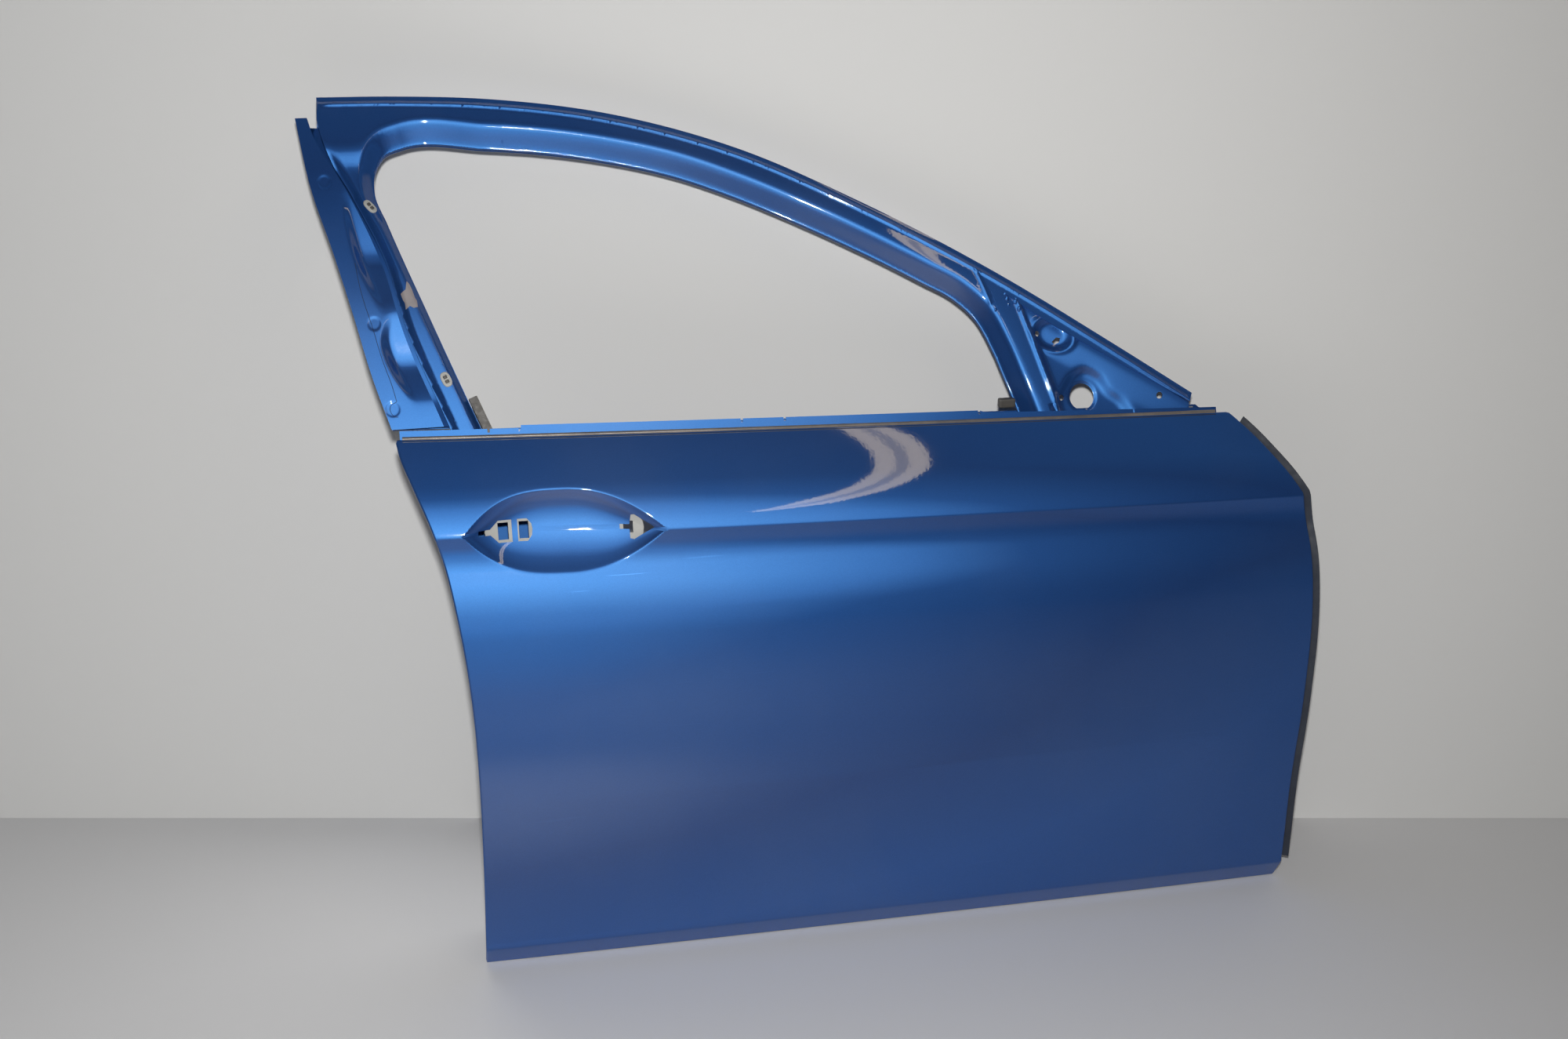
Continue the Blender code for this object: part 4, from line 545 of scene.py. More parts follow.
def lifted(place, places):
    """Points of a pressed surface, and its outward normals there."""
    x, z = places[:, 0], places[:, 1]
    step = 0.0003
    across = place(x + step, z) - place(x - step, z)
    up = place(x, z + step) - place(x, z - step)
    return place(x, z), unit(np.cross(across, up))


def flat_net(outline, holes, lines, free):
    """Triangles over an outline, less its holes, through every line and free point."""
    places, edges = [], []
    closed = [(outline, True)] + [(hole, True) for hole in holes]
    for line, is_ring in closed + [(line, False) for line in lines]:
        first = len(places)
        places.extend(Vector(point) for point in line)
        edges.extend((i, i + 1) for i in range(first, len(places) - 1))
        if is_ring:
            edges.append((len(places) - 1, first))
    places.extend(Vector(point) for point in free)
    found, _, faces, _, _, _ = delaunay_2d_cdt(places, edges, [], 1, 1e-7)
    points = np.array([tuple(point) for point in found])
    faces = np.array(faces, dtype=int)
    middles = points[faces].mean(axis=1)
    keep = np.ones(len(faces), dtype=bool)
    for hole in holes:
        keep &= ~within(hole, middles)
    return points, faces[keep]


def border_edges(faces):
    """The edges that only one of the triangles has."""
    edges = {}
    for a, b, c in faces:
        for edge in ((a, b), (b, c), (c, a)):
            if (edge[1], edge[0]) in edges:
                del edges[(edge[1], edge[0])]
            else:
                edges[edge] = True
    return edges


def custom_piece(name, vertices, faces, corner_normals, material):
    """Piece with a normal of its own for each corner of each face."""
    mesh = new_mesh(name, vertices - ORIGIN, faces, material)
    mesh.shade_smooth()
    mesh.normals_split_custom_set(corner_normals)
    piece = new_object(name, mesh)
    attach(piece, "root")
    return piece


def face_normal(vertices, quad):
    p = vertices[list(quad)]
    return np.cross(p[1] - p[0], p[3] - p[0])


def sheet_piece(name, points, normals, faces, edges, thickness, material):
    """Sheet with a smooth front, a smooth back and square cut edges."""
    count = len(points)
    vertices = np.vstack((points, points - normals * thickness))
    side = [(b, a, a + count, b + count) for a, b in edges]
    all_faces = [tuple(face) for face in faces]
    all_faces += [tuple(face[::-1] + count) for face in faces] + side
    corner = [tuple(normals[i]) for face in faces for i in face]
    corner += [tuple(-normals[i]) for face in faces for i in face[::-1]]
    for quad in side:
        n = face_normal(vertices, quad)
        corner += [tuple(n / max(np.linalg.norm(n), 1e-12))] * 4
    return custom_piece(name, vertices, all_faces, corner, material)


def pressing(name, node, material, place, outline, holes, lines, free, thickness):
    """Pressed sheet over an outline, with normals taken from its true surface."""
    places, faces = flat_net(outline, holes, lines, free)
    points, normals = lifted(place, places)
    a, b, c = points[faces[:, 0]], points[faces[:, 1]], points[faces[:, 2]]
    turned = np.cross(b - a, c - a)[:, 1] > 0
    faces[turned] = faces[turned][:, ::-1]
    piece = sheet_piece(name, points, normals, faces, border_edges(faces), thickness, material)
    if node:
        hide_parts(node)
    return piece


def skin_border(inset):
    """Outline of the skin, a little inside its hemmed edge."""
    rear_z = np.linspace(inset, 0.690, 150)
    rear = np.column_stack((smooth_at(REAR_EDGE, rear_z) + inset, rear_z))
    rear = rear[rear[:, 1] < belt_z(rear[:, 0]) - inset - 0.0005]
    front_z = np.linspace(inset, 0.665, 160)
    front = np.column_stack((front_x(front_z) - inset * 1.2, front_z))
    front = front[front[:, 1] < belt_z(front[:, 0]) - inset - 0.0005]
    top_x = np.linspace(smooth_at(REAR_EDGE, 0.6915) + inset,
                        smooth_at(FRONT_EDGE_HIGH, 0.6605) - inset, 230)
    top = np.column_stack((top_x, belt_z(top_x) - inset))
    low_x = np.linspace(rear[0, 0], front[0, 0], 230)[1:-1]
    low = np.column_stack((low_x, np.full(len(low_x), inset)))
    return np.vstack((low, front, top[::-1], rear[::-1]))


def on_crease(loop):
    return [(x, float(crease_z(x)) + height) for x, height in loop]


skin_outline = skin_border(HEM_RADIUS)
cut_outs = [straight(on_crease(loop), 0.0012) for loop in (LATCH_CUT, LOCK_CUT, PIVOT_CUT)]
recess_rear, recess_front = RECESS_MIDDLE - RECESS_HALF - 0.004, RECESS_MIDDLE + RECESS_HALF + 0.004
crease_x = np.concatenate((np.linspace(-0.020, recess_rear, 8),
                           np.linspace(recess_front, 1.115, 215)))
lines = [np.column_stack((crease_x, crease_z(crease_x) + height)) for height in CREASE_ROWS]
lines += [np.column_stack((np.linspace(0.012, 1.094, 220), np.full(220, z))) for z in FOLD_ROWS]
coarse = net(-0.08, 1.16, 0.0, 0.70, 0.0065)
fine = net(-0.005, 0.272, 0.515, 0.648, 0.0016)
recess_box = (np.abs(coarse[:, 0] - 0.1335) < 0.1385) & (np.abs(coarse[:, 1] - 0.5815) < 0.0665)
free = np.vstack((coarse[~recess_box], fine))
free = free[within(skin_outline, free) & (away_from(ring(skin_outline), free) > 0.0022)]
for hole in cut_outs:
    free = free[~within(hole, free) & (away_from(ring(hole), free) > 0.0007)]
above_crease = free[:, 1] - crease_z(free[:, 0])
near_crease = np.min([np.abs(above_crease - height) for height in CREASE_ROWS[::2]], axis=0)
on_recess = (free[:, 0] > recess_rear) & (free[:, 0] < recess_front)
free = free[(near_crease > 0.0014) | on_recess]
free = free[np.abs(free[:, 1] - 0.0298) > 0.0045]


def skin_place(x, z):
    return np.stack((x, skin_y(x, z), z), axis=1)


pressing("door_skin", "outer_skin", SKIN_PAINT, skin_place, skin_outline, cut_outs, lines, free,
         SKIN_SHEET)


# The hem: the edge of the skin, turned round the flange of the inner panel in a soft fold and
# pressed flat behind it, so that the outside has no cut edge.
inset_points, inset_normals = lifted(skin_place, skin_outline)
along = np.roll(inset_points, -1, axis=0) - np.roll(inset_points, 1, axis=0)
outward = unit(np.cross(along, inset_normals))
if (outward * (inset_points - inset_points.mean(axis=0))).sum() < 0:
    outward = -outward
hem_rings, hem_normals = [], []
for step in range(9):
    turn_angle = math.pi * step / 8
    way = outward * math.sin(turn_angle) + inset_normals * math.cos(turn_angle)
    hem_rings.append(inset_points - inset_normals * HEM_RADIUS + way * HEM_RADIUS)
    hem_normals.append(way)
hem_rings.append(hem_rings[-1] - outward * HEM_LIP)
hem_normals.append(-inset_normals)
hem_rings.append(hem_rings[-1] + inset_normals * SKIN_SHEET)
hem_normals.append(-outward)
count = len(inset_points)
vertices, normals = np.vstack(hem_rings), np.vstack(hem_normals)
faces, corner = [], []
for r in range(len(hem_rings) - 1):
    for i in range(count):
        j = (i + 1) % count
        quad = (r * count + i, r * count + j, (r + 1) * count + j, (r + 1) * count + i)
        if face_normal(vertices, quad) @ normals[quad[0]] < 0:
            quad = quad[::-1]
        faces.append(quad)
        corner += [tuple(normals[k]) for k in quad]
hem = custom_piece("door_skin_hem", vertices, faces, corner, SKIN_PAINT)
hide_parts("outer_skin")


# The window frame's outer pressing: one sheet for the rear leg, the roof rail and the front post.
# Its edge along the glass turns inboard, its roof edge drops to a narrow flange for the door
# seal, and each bend keeps a soft radius.
FRAME_SHEET = 0.0014
FRAME_FOOT, FRAME_Y, FRAME_TILT, FRAME_CURVE = 0.69, 0.090, 0.364, 0.45
ROOF_EDGE = [(-0.133, 1.099), (-0.037, 1.097), (0.084, 1.090), (0.245, 1.066), (0.405, 1.019),
             (0.564, 0.946), (0.724, 0.858), (0.886, 0.755), (0.990, 0.686)]
WINDOW_EDGE = [(0.076, 0.620), (0.041, 0.707), (-0.010, 0.836), (-0.054, 0.949), (-0.0675, 0.988),
               (-0.0655, 1.012), (-0.052, 1.033), (-0.028, 1.0415), (0.078, 1.0365), (0.158, 1.028),
               (0.239, 1.014), (0.319, 0.994), (0.398, 0.965), (0.477, 0.930), (0.557, 0.891),
               (0.637, 0.848), (0.677, 0.825), (0.703, 0.800), (0.723, 0.760), (0.737, 0.720),
               (0.750, 0.682), (0.768, 0.620)]
CHANNEL_EDGE = [(-0.134, 1.070), (-0.128, 1.045), (-0.096, 0.983), (-0.060, 0.905),
                (-0.040, 0.825), (0.004, 0.706), (0.036, 0.620)]
SEAM_EDGE = [(0.743, 0.823), (0.786, 0.681), (0.805, 0.620)]
SAIL_TOP = [(0.743, 0.823), (0.805, 0.781), (0.870, 0.742), (0.930, 0.707), (0.984, 0.675)]
RETURN_DEPTH, RETURN_FLAT, RETURN_WIDTH = 0.024, 0.0004, 0.020
LEG_DEPTH, LEG_TOP, LEG_BLEND, LEG_END = 0.008, 1.016, 0.016, 0.1
LEG_RETURN, LEG_LIP, LEG_WALL = 0.009, 0.016, 0.0095
ROOF_BEAD, BEAD_HEIGHT, BEAD_WIDTH = 0.0108, 0.0017, 0.0023
POST_CREASE = [(0.7060, 0.8560), (0.7144, 0.8346), (0.7215, 0.8130)]
ROOF_FLANGE, ROOF_STEP, ROOF_DROP = 0.0062, 0.0090, 0.005
WEB = 0.004


def frame_place(x, z, depth):
    """Point at a depth behind the leaning, curved plane of the window frame."""
    rise = z - FRAME_FOOT
    slope = FRAME_TILT + 2 * FRAME_CURVE * rise
    size = np.sqrt(1 + slope * slope)
    y = FRAME_Y + FRAME_TILT * rise + FRAME_CURVE * rise * rise
    return np.stack((x, y + depth / size, z - slope * depth / size), axis=1)


def ramp(at, soft):
    """Nothing below zero and the value above it, with a soft bend."""
    return 0.5 * (at + np.sqrt(at * at + soft * soft))


def bent(knots, at, soft):
    """Straight runs through (place, value) knots, level beyond them, with rounded corners."""
    value, slope = np.full(len(at), float(knots[0][1])), 0.0
    for (start, low), (end, high) in zip(knots, knots[1:]):
        after = (high - low) / (end - start)
        value = value + (after - slope) * ramp(at - start, soft)
        slope = after
    return value - slope * ramp(at - knots[-1][0], soft)


def larger(one, other, soft):
    """The larger of two values, with a soft change between them."""
    return 0.5 * (one + other + np.sqrt((one - other) ** 2 + soft * soft))


def beside(line, distance):
    """The line moved sideways, to the left of its direction for a positive distance."""
    line = np.asarray(line)
    along = unit(np.gradient(line, axis=0))
    return line + np.column_stack((-along[:, 1], along[:, 0])) * distance


ROOF = spread(ROOF_EDGE, 0.004)
WINDOW = spread(WINDOW_EDGE, 0.004)
CHANNEL = spread(CHANNEL_EDGE, 0.0025)
SEAM = spread(SEAM_EDGE, 0.005)
SAIL_RIM = spread(SAIL_TOP, 0.005)
CREASE = spread(POST_CREASE, 0.002)


def frame_depth(x, z):
    """Depth of the outer pressing behind the plane of the frame."""
    points = np.column_stack((x, z))
    from_window, from_roof = away_from(WINDOW, points), away_from(ROOF, points)
    from_channel = away_from(CHANNEL, points)
    leg = np.where(x < LEG_END, 1 - bent([(LEG_TOP, 0), (LEG_TOP + LEG_BLEND, 1)], z, 0.007), 0.0)
    slim = np.where(x < LEG_END, bent([(0.94, 1), (1.01, 0)], z, 0.02), 0.0)
    face = LEG_DEPTH * leg
    flat = RETURN_FLAT * (1 - 0.7 * slim)
    width = RETURN_WIDTH + (LEG_RETURN - RETURN_WIDTH) * slim
    turn = bent([(0.0, 1), (1.0, 0)], (from_window - flat) / (width - flat), 0.17)
    drop = bent([(ROOF_FLANGE, 1), (ROOF_STEP, 0)], from_roof, 0.0012)
    edge = bent([(0.0, 1), (LEG_WALL, 0)], from_channel, 0.0015) * leg
    turned = face + (RETURN_DEPTH + (LEG_LIP - RETURN_DEPTH) * slim - face) * turn
    dropped = face + (ROOF_DROP - face) * drop
    lip = face + edge * (LEG_LIP - face)
    bead = BEAD_HEIGHT * np.exp(-((from_roof - ROOF_BEAD) / BEAD_WIDTH) ** 2) * bent(
        [(-0.128, 0), (-0.120, 1)], x, 0.003)
    crease = 0.0011 * np.exp(-(away_from(CREASE, points) / 0.0021) ** 2)
    return larger(larger(turned, dropped, 0.0008), lip, 0.0008) - bead - crease


def outer_frame_place(x, z):
    return frame_place(x, z, frame_depth(x, z))


def rows_beside(line, offsets, spacing):
    """Free points on lines beside a line, thinned to a spacing."""
    return np.vstack([spread(beside(line, offset), spacing) for offset in offsets])


def sparse(points, least):
    """The points with none nearer than a least distance to one kept before it."""
    kept, cells = [], {}
    for point in points:
        cell = (int(point[0] // least), int(point[1] // least))
        near = [other for i in (-1, 0, 1) for j in (-1, 0, 1)
                for other in cells.get((cell[0] + i, cell[1] + j), ())]
        if all((point[0] - other[0]) ** 2 + (point[1] - other[1]) ** 2 > least * least
               for other in near):
            cells.setdefault(cell, []).append(point)
            kept.append(point)
    return np.array(kept)


def inner_points(outline, holes, points, clear):
    """The points that lie inside an outline and clear of its edges and holes."""
    points = points[within(outline, points) & (away_from(ring(outline), points) > clear)]
    for hole in holes:
        points = points[~within(hole, points) & (away_from(ring(hole), points) > clear)]
    return points


ends = np.array([(ROOF[0][0], ROOF[0][1] - ROOF_STEP), (ROOF[0][0], ROOF[0][1] - ROOF_FLANGE)])
frame_outline = np.vstack((ROOF, SAIL_RIM[::-1], SEAM[1:], WINDOW[::-1], CHANNEL[::-1], ends))
bends = np.vstack((
    rows_beside(WINDOW, (0.0015, 0.0030, 0.0045, 0.0065, 0.010, 0.0135, 0.0165, 0.0180, 0.0192,
                         0.0204, 0.0216, 0.0230, 0.0250), 0.004),
    rows_beside(ROOF, (-0.0020, -0.0040, -0.0053, -0.0062, -0.0071, -0.0080, -0.0089, -0.0098,
                       -0.0108, -0.0118, -0.0129, -0.0140, -0.0152, -0.0170, -0.0195), 0.004),
    rows_beside(CREASE, (0.0, 0.0011, 0.0022, 0.0034, -0.0011, -0.0022, -0.0034), 0.002),
    rows_beside(CHANNEL, (-0.0014, -0.0028, -0.0042, -0.0056, -0.0070, -0.0082, -0.0094, -0.0106,
                          -0.0120), 0.0025)))
frame_free = sparse(np.vstack((bends, net(-0.15, 1.0, 0.61, 1.11, 0.005))), 0.0010)
frame_free = inner_points(frame_outline, [], frame_free, 0.0009)
pressing("frame_outer_pressing", "frame_outer", FRAME_PAINT, outer_frame_place, frame_outline, [],
         [], frame_free, FRAME_SHEET)


# The inner pressing of the window frame: spot-welded behind the outer one, it closes the frame
# into a box that is deeper along the roof than at the belt.
SEAT_GAP = 0.0005
FRAME_STACK = FRAME_SHEET + SEAT_GAP
BOX_DEPTH, BOX_DEPTH_LOW, BOX_FLANGE, BOX_WALL, BOX_RISE = 0.040, 0.026, 0.010, 0.006, 0.05
PLATE_DEPTH = 0.001
LEG_OUTER = [(-0.160, 1.0725), (-0.145, 0.989), (-0.123, 0.915), (-0.103, 0.840), (-0.085, 0.766),
             (-0.0660, 0.704)]
INNER_NOTCH = [(-0.146, 1.0725), (-0.136, 1.078)]
FLANGE_ROWS = np.array((0.004, 0.0088, 0.0100, 0.0114, 0.0130, 0.0146, 0.0162, 0.019))
INNER_ROOF = beside(ROOF, -2 * SEAT_GAP)
INNER_ROOF = INNER_ROOF[INNER_ROOF[:, 0] < SEAM[0][0]]
INNER_LEG = spread(LEG_OUTER, 0.005)


def inner_frame_depth(x, z):
    """Depth of the inner pressing: a box with a flange along each of its edges."""
    points = np.column_stack((x, z))
    box = bent([(FRAME_FOOT, BOX_DEPTH_LOW), (FRAME_FOOT + BOX_RISE, BOX_DEPTH)], z, 0.01)
    deep = box
    for line, flange, width in ((WINDOW, RETURN_DEPTH + FRAME_STACK, WEB),
                                (INNER_ROOF, ROOF_DROP + FRAME_STACK, BOX_FLANGE),
                                (INNER_LEG, PLATE_DEPTH + FRAME_STACK, BOX_FLANGE),
                                (SEAM, 2 * FRAME_STACK, BOX_FLANGE)):
        share = bent([(width, 0.0), (width + BOX_WALL, 1.0)], away_from(line, points), 0.0020)
        deep = -larger(-deep, -(flange + (box - flange) * share), 0.0010)
    return larger(deep, frame_depth(x, z) + FRAME_STACK, 0.0004)


def inner_frame_place(x, z):
    return frame_place(x, z, inner_frame_depth(x, z))


inner_outline = np.vstack(([(0.030, 0.620), (0.030, INNER_LEG[-1][1])], INNER_LEG[::-1],
                           INNER_NOTCH, INNER_ROOF, SEAM, WINDOW[::-1]))
inner_rows = np.vstack((
    rows_beside(WINDOW, (0.002, 0.0036, 0.0048, 0.0062, 0.0076, 0.0090, 0.0104, 0.013), 0.004),
    rows_beside(INNER_ROOF, -FLANGE_ROWS, 0.004), rows_beside(INNER_LEG, FLANGE_ROWS, 0.004),
    rows_beside(SEAM, -FLANGE_ROWS, 0.004)))
inner_free = sparse(np.vstack((inner_rows, net(-0.17, 1.0, 0.61, 1.11, 0.006))), 0.0011)
inner_free = inner_points(inner_outline, [], inner_free, 0.0009)
pressing("frame_inner_pressing", "frame_inner", FRAME_PAINT, inner_frame_place, inner_outline, [],
         [], inner_free, FRAME_SHEET)


# Marks on the frame: fine sealer and score lines, weld lumps where the post joins the rail, and
# one patch on the rear leg where the paint has come off down to the primer.
BEAD_SPACING, BEAD_SIDES = 0.0025, 8
SCORE_RADIUS, PATCH_LIFT, PATCH_SHEET = 0.00025, 0.00035, 0.0003
POST_SCORE = [(0.7243, 0.8283), (0.734, 0.7949), (0.7452, 0.7632), (0.7605, 0.7273)]
LUMPS = [(0.7430, 0.8225, 0.0020), (0.7450, 0.8166, 0.0030), (0.7462, 0.8088, 0.0018),
         (0.7560, 0.8125, 0.0032), (0.7605, 0.8035, 0.0034), (0.7280, 0.8040, 0.0022)]
PATCH = [(-0.0440, 0.8650), (-0.0375, 0.8690), (-0.0355, 0.8790), (-0.0325, 0.8760),
         (-0.0295, 0.8690), (-0.0265, 0.8590), (-0.0245, 0.8560), (-0.0235, 0.8480),
         (-0.0290, 0.8470), (-0.0335, 0.8495), (-0.0390, 0.8460), (-0.0395, 0.8530),
         (-0.0420, 0.8580)]
PRIMER = worn_finish("grey_primer", (0.30, 0.27, 0.27), (0.22, 0.20, 0.21), 0.0, 0.40, 0.60,
                     (300.0, 60.0), 1200.0, 0.2)
# Dark blue of the sealer lines on the plate; the same finish is the painted shadow under the belt
# hem.
SEALER_AND_SHADOW = worn_finish("dark_sealer_and_painted_shadow", (0.010, 0.022, 0.060), (0.020, 0.034, 0.075), 0.0, 0.35, 0.55,
                     (300.0, 60.0), 1200.0, 0.2)


def bead_line(name, line, place, radius, material):
    """Round bead laid along a line on a surface."""
    points, normals = lifted(place, spread(line, BEAD_SPACING))
    across = np.cross(unit(np.gradient(points, axis=0)), normals)
    turns = [2 * math.pi * step / BEAD_SIDES for step in range(BEAD_SIDES)]
    ways = [across * math.cos(turn) + normals * math.sin(turn) for turn in turns]
    vertices, ways = np.vstack([points + way * radius for way in ways]), np.vstack(ways)
    count = len(points)
    faces, corner = [], []
    for r in range(BEAD_SIDES):
        low, high = r * count, (r + 1) % BEAD_SIDES * count
        for i in range(count - 1):
            quad = (low + i, low + i + 1, high + i + 1, high + i)
            if face_normal(vertices, quad) @ (ways[quad[0]] + ways[quad[3]]) < 0:
                quad = quad[::-1]
            faces.append(quad)
            corner += [tuple(ways[k]) for k in quad]
    return custom_piece(name, vertices, faces, corner, material)


def shaded_piece(name, shape, material, sharp=None):
    """Smooth piece from an editable shape, with hard edges from the sharp angle on."""
    mesh = bpy.data.meshes.new(name)
    shape.to_mesh(mesh)
    shape.free()
    mesh.transform(Matrix.Translation(-Vector(ORIGIN)))
    mesh.materials.append(material)
    mesh.shade_smooth()
    if sharp:
        mesh.set_sharp_from_angle(angle=sharp)
    piece = new_object(name, mesh)
    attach(piece, "root")
    return piece


bead_line("post_score", POST_SCORE, outer_frame_place, SCORE_RADIUS, FRAME_PAINT)
for i, (x, z, radius) in enumerate(LUMPS):
    lump = bmesh.new()
    bmesh.ops.create_icosphere(lump, subdivisions=3, radius=1.0)
    seat = lifted(outer_frame_place, np.array([(x, z)]))[0][0]
    for vert in lump.verts:
        x0, y0, z0 = vert.co
        wobble = 1 + 0.10 * math.sin(5 * x0 + 2 * i) + 0.08 * math.cos(6 * z0 + i)
        vert.co = Vector(seat) + Vector((x0, y0 * 0.45, z0 * 1.25)) * radius * wobble
    shaded_piece("weld_lump", lump, FRAME_PAINT)


def patch_place(x, z):
    return frame_place(x, z, frame_depth(x, z) - PATCH_LIFT)


patch_outline = straight(PATCH, 0.0015)
pressing("bare_patch", None, PRIMER, patch_place, patch_outline, [], [],
         inner_points(patch_outline, [], net(-0.05, -0.02, 0.84, 0.89, 0.0015), 0.0006),
         PATCH_SHEET)


# The frame clips: small oval pads pushed into the rear leg that hold the glass run, each with a
# sunk middle and a dark catch.
CLIPS = [("upper_frame_clip", -0.0745, 0.9690), ("lower_frame_clip", 0.0045, 0.7605)]
CLIP_HALF, CLIP_POWER, CATCH_HALF, CATCH_POWER = (0.0062, 0.0100), 2.6, (0.0072, 0.0060), 5.0
CLIP_STEPS = [(1.00, -0.0006), (1.00, 0.0012), (0.95, 0.0019), (0.86, 0.0022), (0.66, 0.0022),
              (0.62, 0.0012), (0.30, 0.0012)]
CATCH_STEPS = [(0.36, 0.0008), (0.36, 0.0021), (0.32, 0.0024), (0.12, 0.0024)]
CATCH_SHIFT, CLIP_LEAN, OVAL_SIDES, SHARP_ANGLE = 0.0030, -0.38, 40, math.radians(50)


def ringed_piece(name, rings, material):
    """Closed piece through rings of points, with a flat face at each end."""
    shape = bmesh.new()
    loops = [[shape.verts.new(tuple(point)) for point in points] for points in rings]
    for low, high in zip(loops, loops[1:]):
        for i in range(len(low)):
            after = (i + 1) % len(low)
            shape.faces.new((low[i], low[after], high[after], high[i]))
    shape.faces.new(loops[0])
    shape.faces.new(loops[-1][::-1])
    bmesh.ops.recalc_face_normals(shape, faces=shape.faces)
    return shaded_piece(name, shape, material, SHARP_ANGLE)


def oval_piece(name, point, across, along, out, half, steps, power, material):
    """Stack of oval rings, each with its scale and its height."""
    turns = 2 * math.pi * np.arange(OVAL_SIDES) / OVAL_SIDES
    oval = [np.sign(way) * np.abs(way) ** (2 / power) * size
            for way, size in ((np.cos(turns), half[0]), (np.sin(turns), half[1]))]
    flat = oval[0][:, None] * across, oval[1][:, None] * along
    return ringed_piece(name, [point + flat[0] * scale + flat[1] * scale + out * height
                               for scale, height in steps], material)


for node, x, z in CLIPS:
    point, out = [found[0] for found in lifted(outer_frame_place, np.array([(x, z)]))]
    along = np.array((CLIP_LEAN, 0.0, 1.0))
    along -= out * (along @ out)
    along /= np.linalg.norm(along)
    across = np.cross(along, out)
    pad = oval_piece("clip_pad", point, across, along, out, CLIP_HALF, CLIP_STEPS, CLIP_POWER,
                     FINISHES["grey_plastic"])
    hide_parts(node)
    for shift in (-CATCH_SHIFT, CATCH_SHIFT):
        oval_piece("clip_catch", point + along * shift, across, along, out, CATCH_HALF,
                   CATCH_STEPS, CATCH_POWER, FINISHES["dark_plastic"])


# The plate on the rear leg: a separate pressing that carries the outer cover. Two long pockets
# open towards the glass run; each has a steep rear wall, a floor that sinks on its way down and
# a step at its foot. Two shallow round dimples locate the cover.
PLATE_OUTER = [(-0.161, 1.073), (-0.146, 0.989), (-0.124, 0.915), (-0.104, 0.840),
               (-0.086, 0.766), (-0.0670, 0.704)]
PLATE_INNER = [(-0.146, 1.073), (-0.138, 1.048), (-0.122, 1.020), (-0.101, 0.983),
               (-0.066, 0.905), (-0.046, 0.825), (-0.0027, 0.704)]
POCKETS = [(0.985, 0.846, 0.0125, [(0.0, 0.009), (0.25, 0.022), (0.6, 0.031), (1.0, 0.022)]),
           (0.840, 0.737, 0.0120, [(0.0, 0.014), (0.3, 0.031), (0.65, 0.0335), (1.0, 0.028)])]
POCKET_WALL, DIMPLE_DEPTH, SEAM_RADIUS = 0.0095, 0.0007, 0.00035
PLATE_FOOT, PLATE_TOP = 0.704, 1.073
PLATE_SEAM = [(-0.0977, 0.9007), (-0.0928, 0.8686), (-0.0880, 0.8480), (-0.0838, 0.8335),
              (-0.072, 0.7854), (-0.0628, 0.7555), (-0.0584, 0.7369)]
SEAM_CURL = [(-0.0584, 0.7369), (-0.0610, 0.7352), (-0.0650, 0.7338), (-0.0672, 0.7300),
             (-0.0655, 0.7226), (-0.0620, 0.7192), (-0.0579, 0.7185)]
DIMPLES = [(-0.129, 0.9965, 0.0085), (-0.079, 0.829, 0.0085), (-0.064, 0.728, 0.0095)]


def plate_edge(line, z):
    return smooth_at([(height, place) for place, height in reversed(line)], z)


def plate_depth(x, z):
    depth = np.full(len(x), PLATE_DEPTH)
    from_edge = plate_edge(PLATE_INNER, z) - x
    for top, foot, deep, widths in POCKETS:
        down = (top - z) / (top - foot)
        sink = bent([(0.0, 0.0), (0.52, 1.0), (0.60, 1.0), (0.96, 0.12), (1.02, 0.0)], down, 0.05)
        width = smooth_at(widths, down)
        wall = bent([(0.0, 0.0), (POCKET_WALL, 1.0)], width - from_edge, 0.0024)
        depth = depth + deep * np.clip(sink, 0.0, 1.0) * wall
    for at_x, at_z, radius in DIMPLES:
        away = np.hypot(x - at_x, z - at_z)
        depth = depth + DIMPLE_DEPTH * bent([(radius - 0.002, 1.0), (radius, 0.0)], away, 0.0008)
    return depth


def plate_place(x, z):
    return frame_place(x, z, plate_depth(x, z))


plate_z = np.linspace(PLATE_FOOT, PLATE_TOP, 150)
plate_low, plate_top = [
    np.column_stack((np.linspace(plate_edge(PLATE_OUTER, z), plate_edge(PLATE_INNER, z), count),
                     np.full(count, z))) for z, count in ((PLATE_FOOT, 26), (PLATE_TOP, 7))]
plate_outline = np.vstack((
    plate_low[:-1], np.column_stack((plate_edge(PLATE_INNER, plate_z), plate_z))[:-1],
    plate_top[:0:-1], np.column_stack((plate_edge(PLATE_OUTER, plate_z), plate_z))[:0:-1]))
plate_free = inner_points(plate_outline, [], net(-0.17, 0.01, 0.70, 1.08, 0.0017), 0.0010)
pressing("plate_pressing", "b_pillar_plate", FRAME_PAINT, plate_place, plate_outline, [], [],
         plate_free, FRAME_SHEET)
bead_line("plate_seam", PLATE_SEAM, plate_place, SEAM_RADIUS, SEALER_AND_SHADOW)
bead_line("plate_seam_curl", SEAM_CURL, plate_place, SEAM_RADIUS, SEALER_AND_SHADOW)


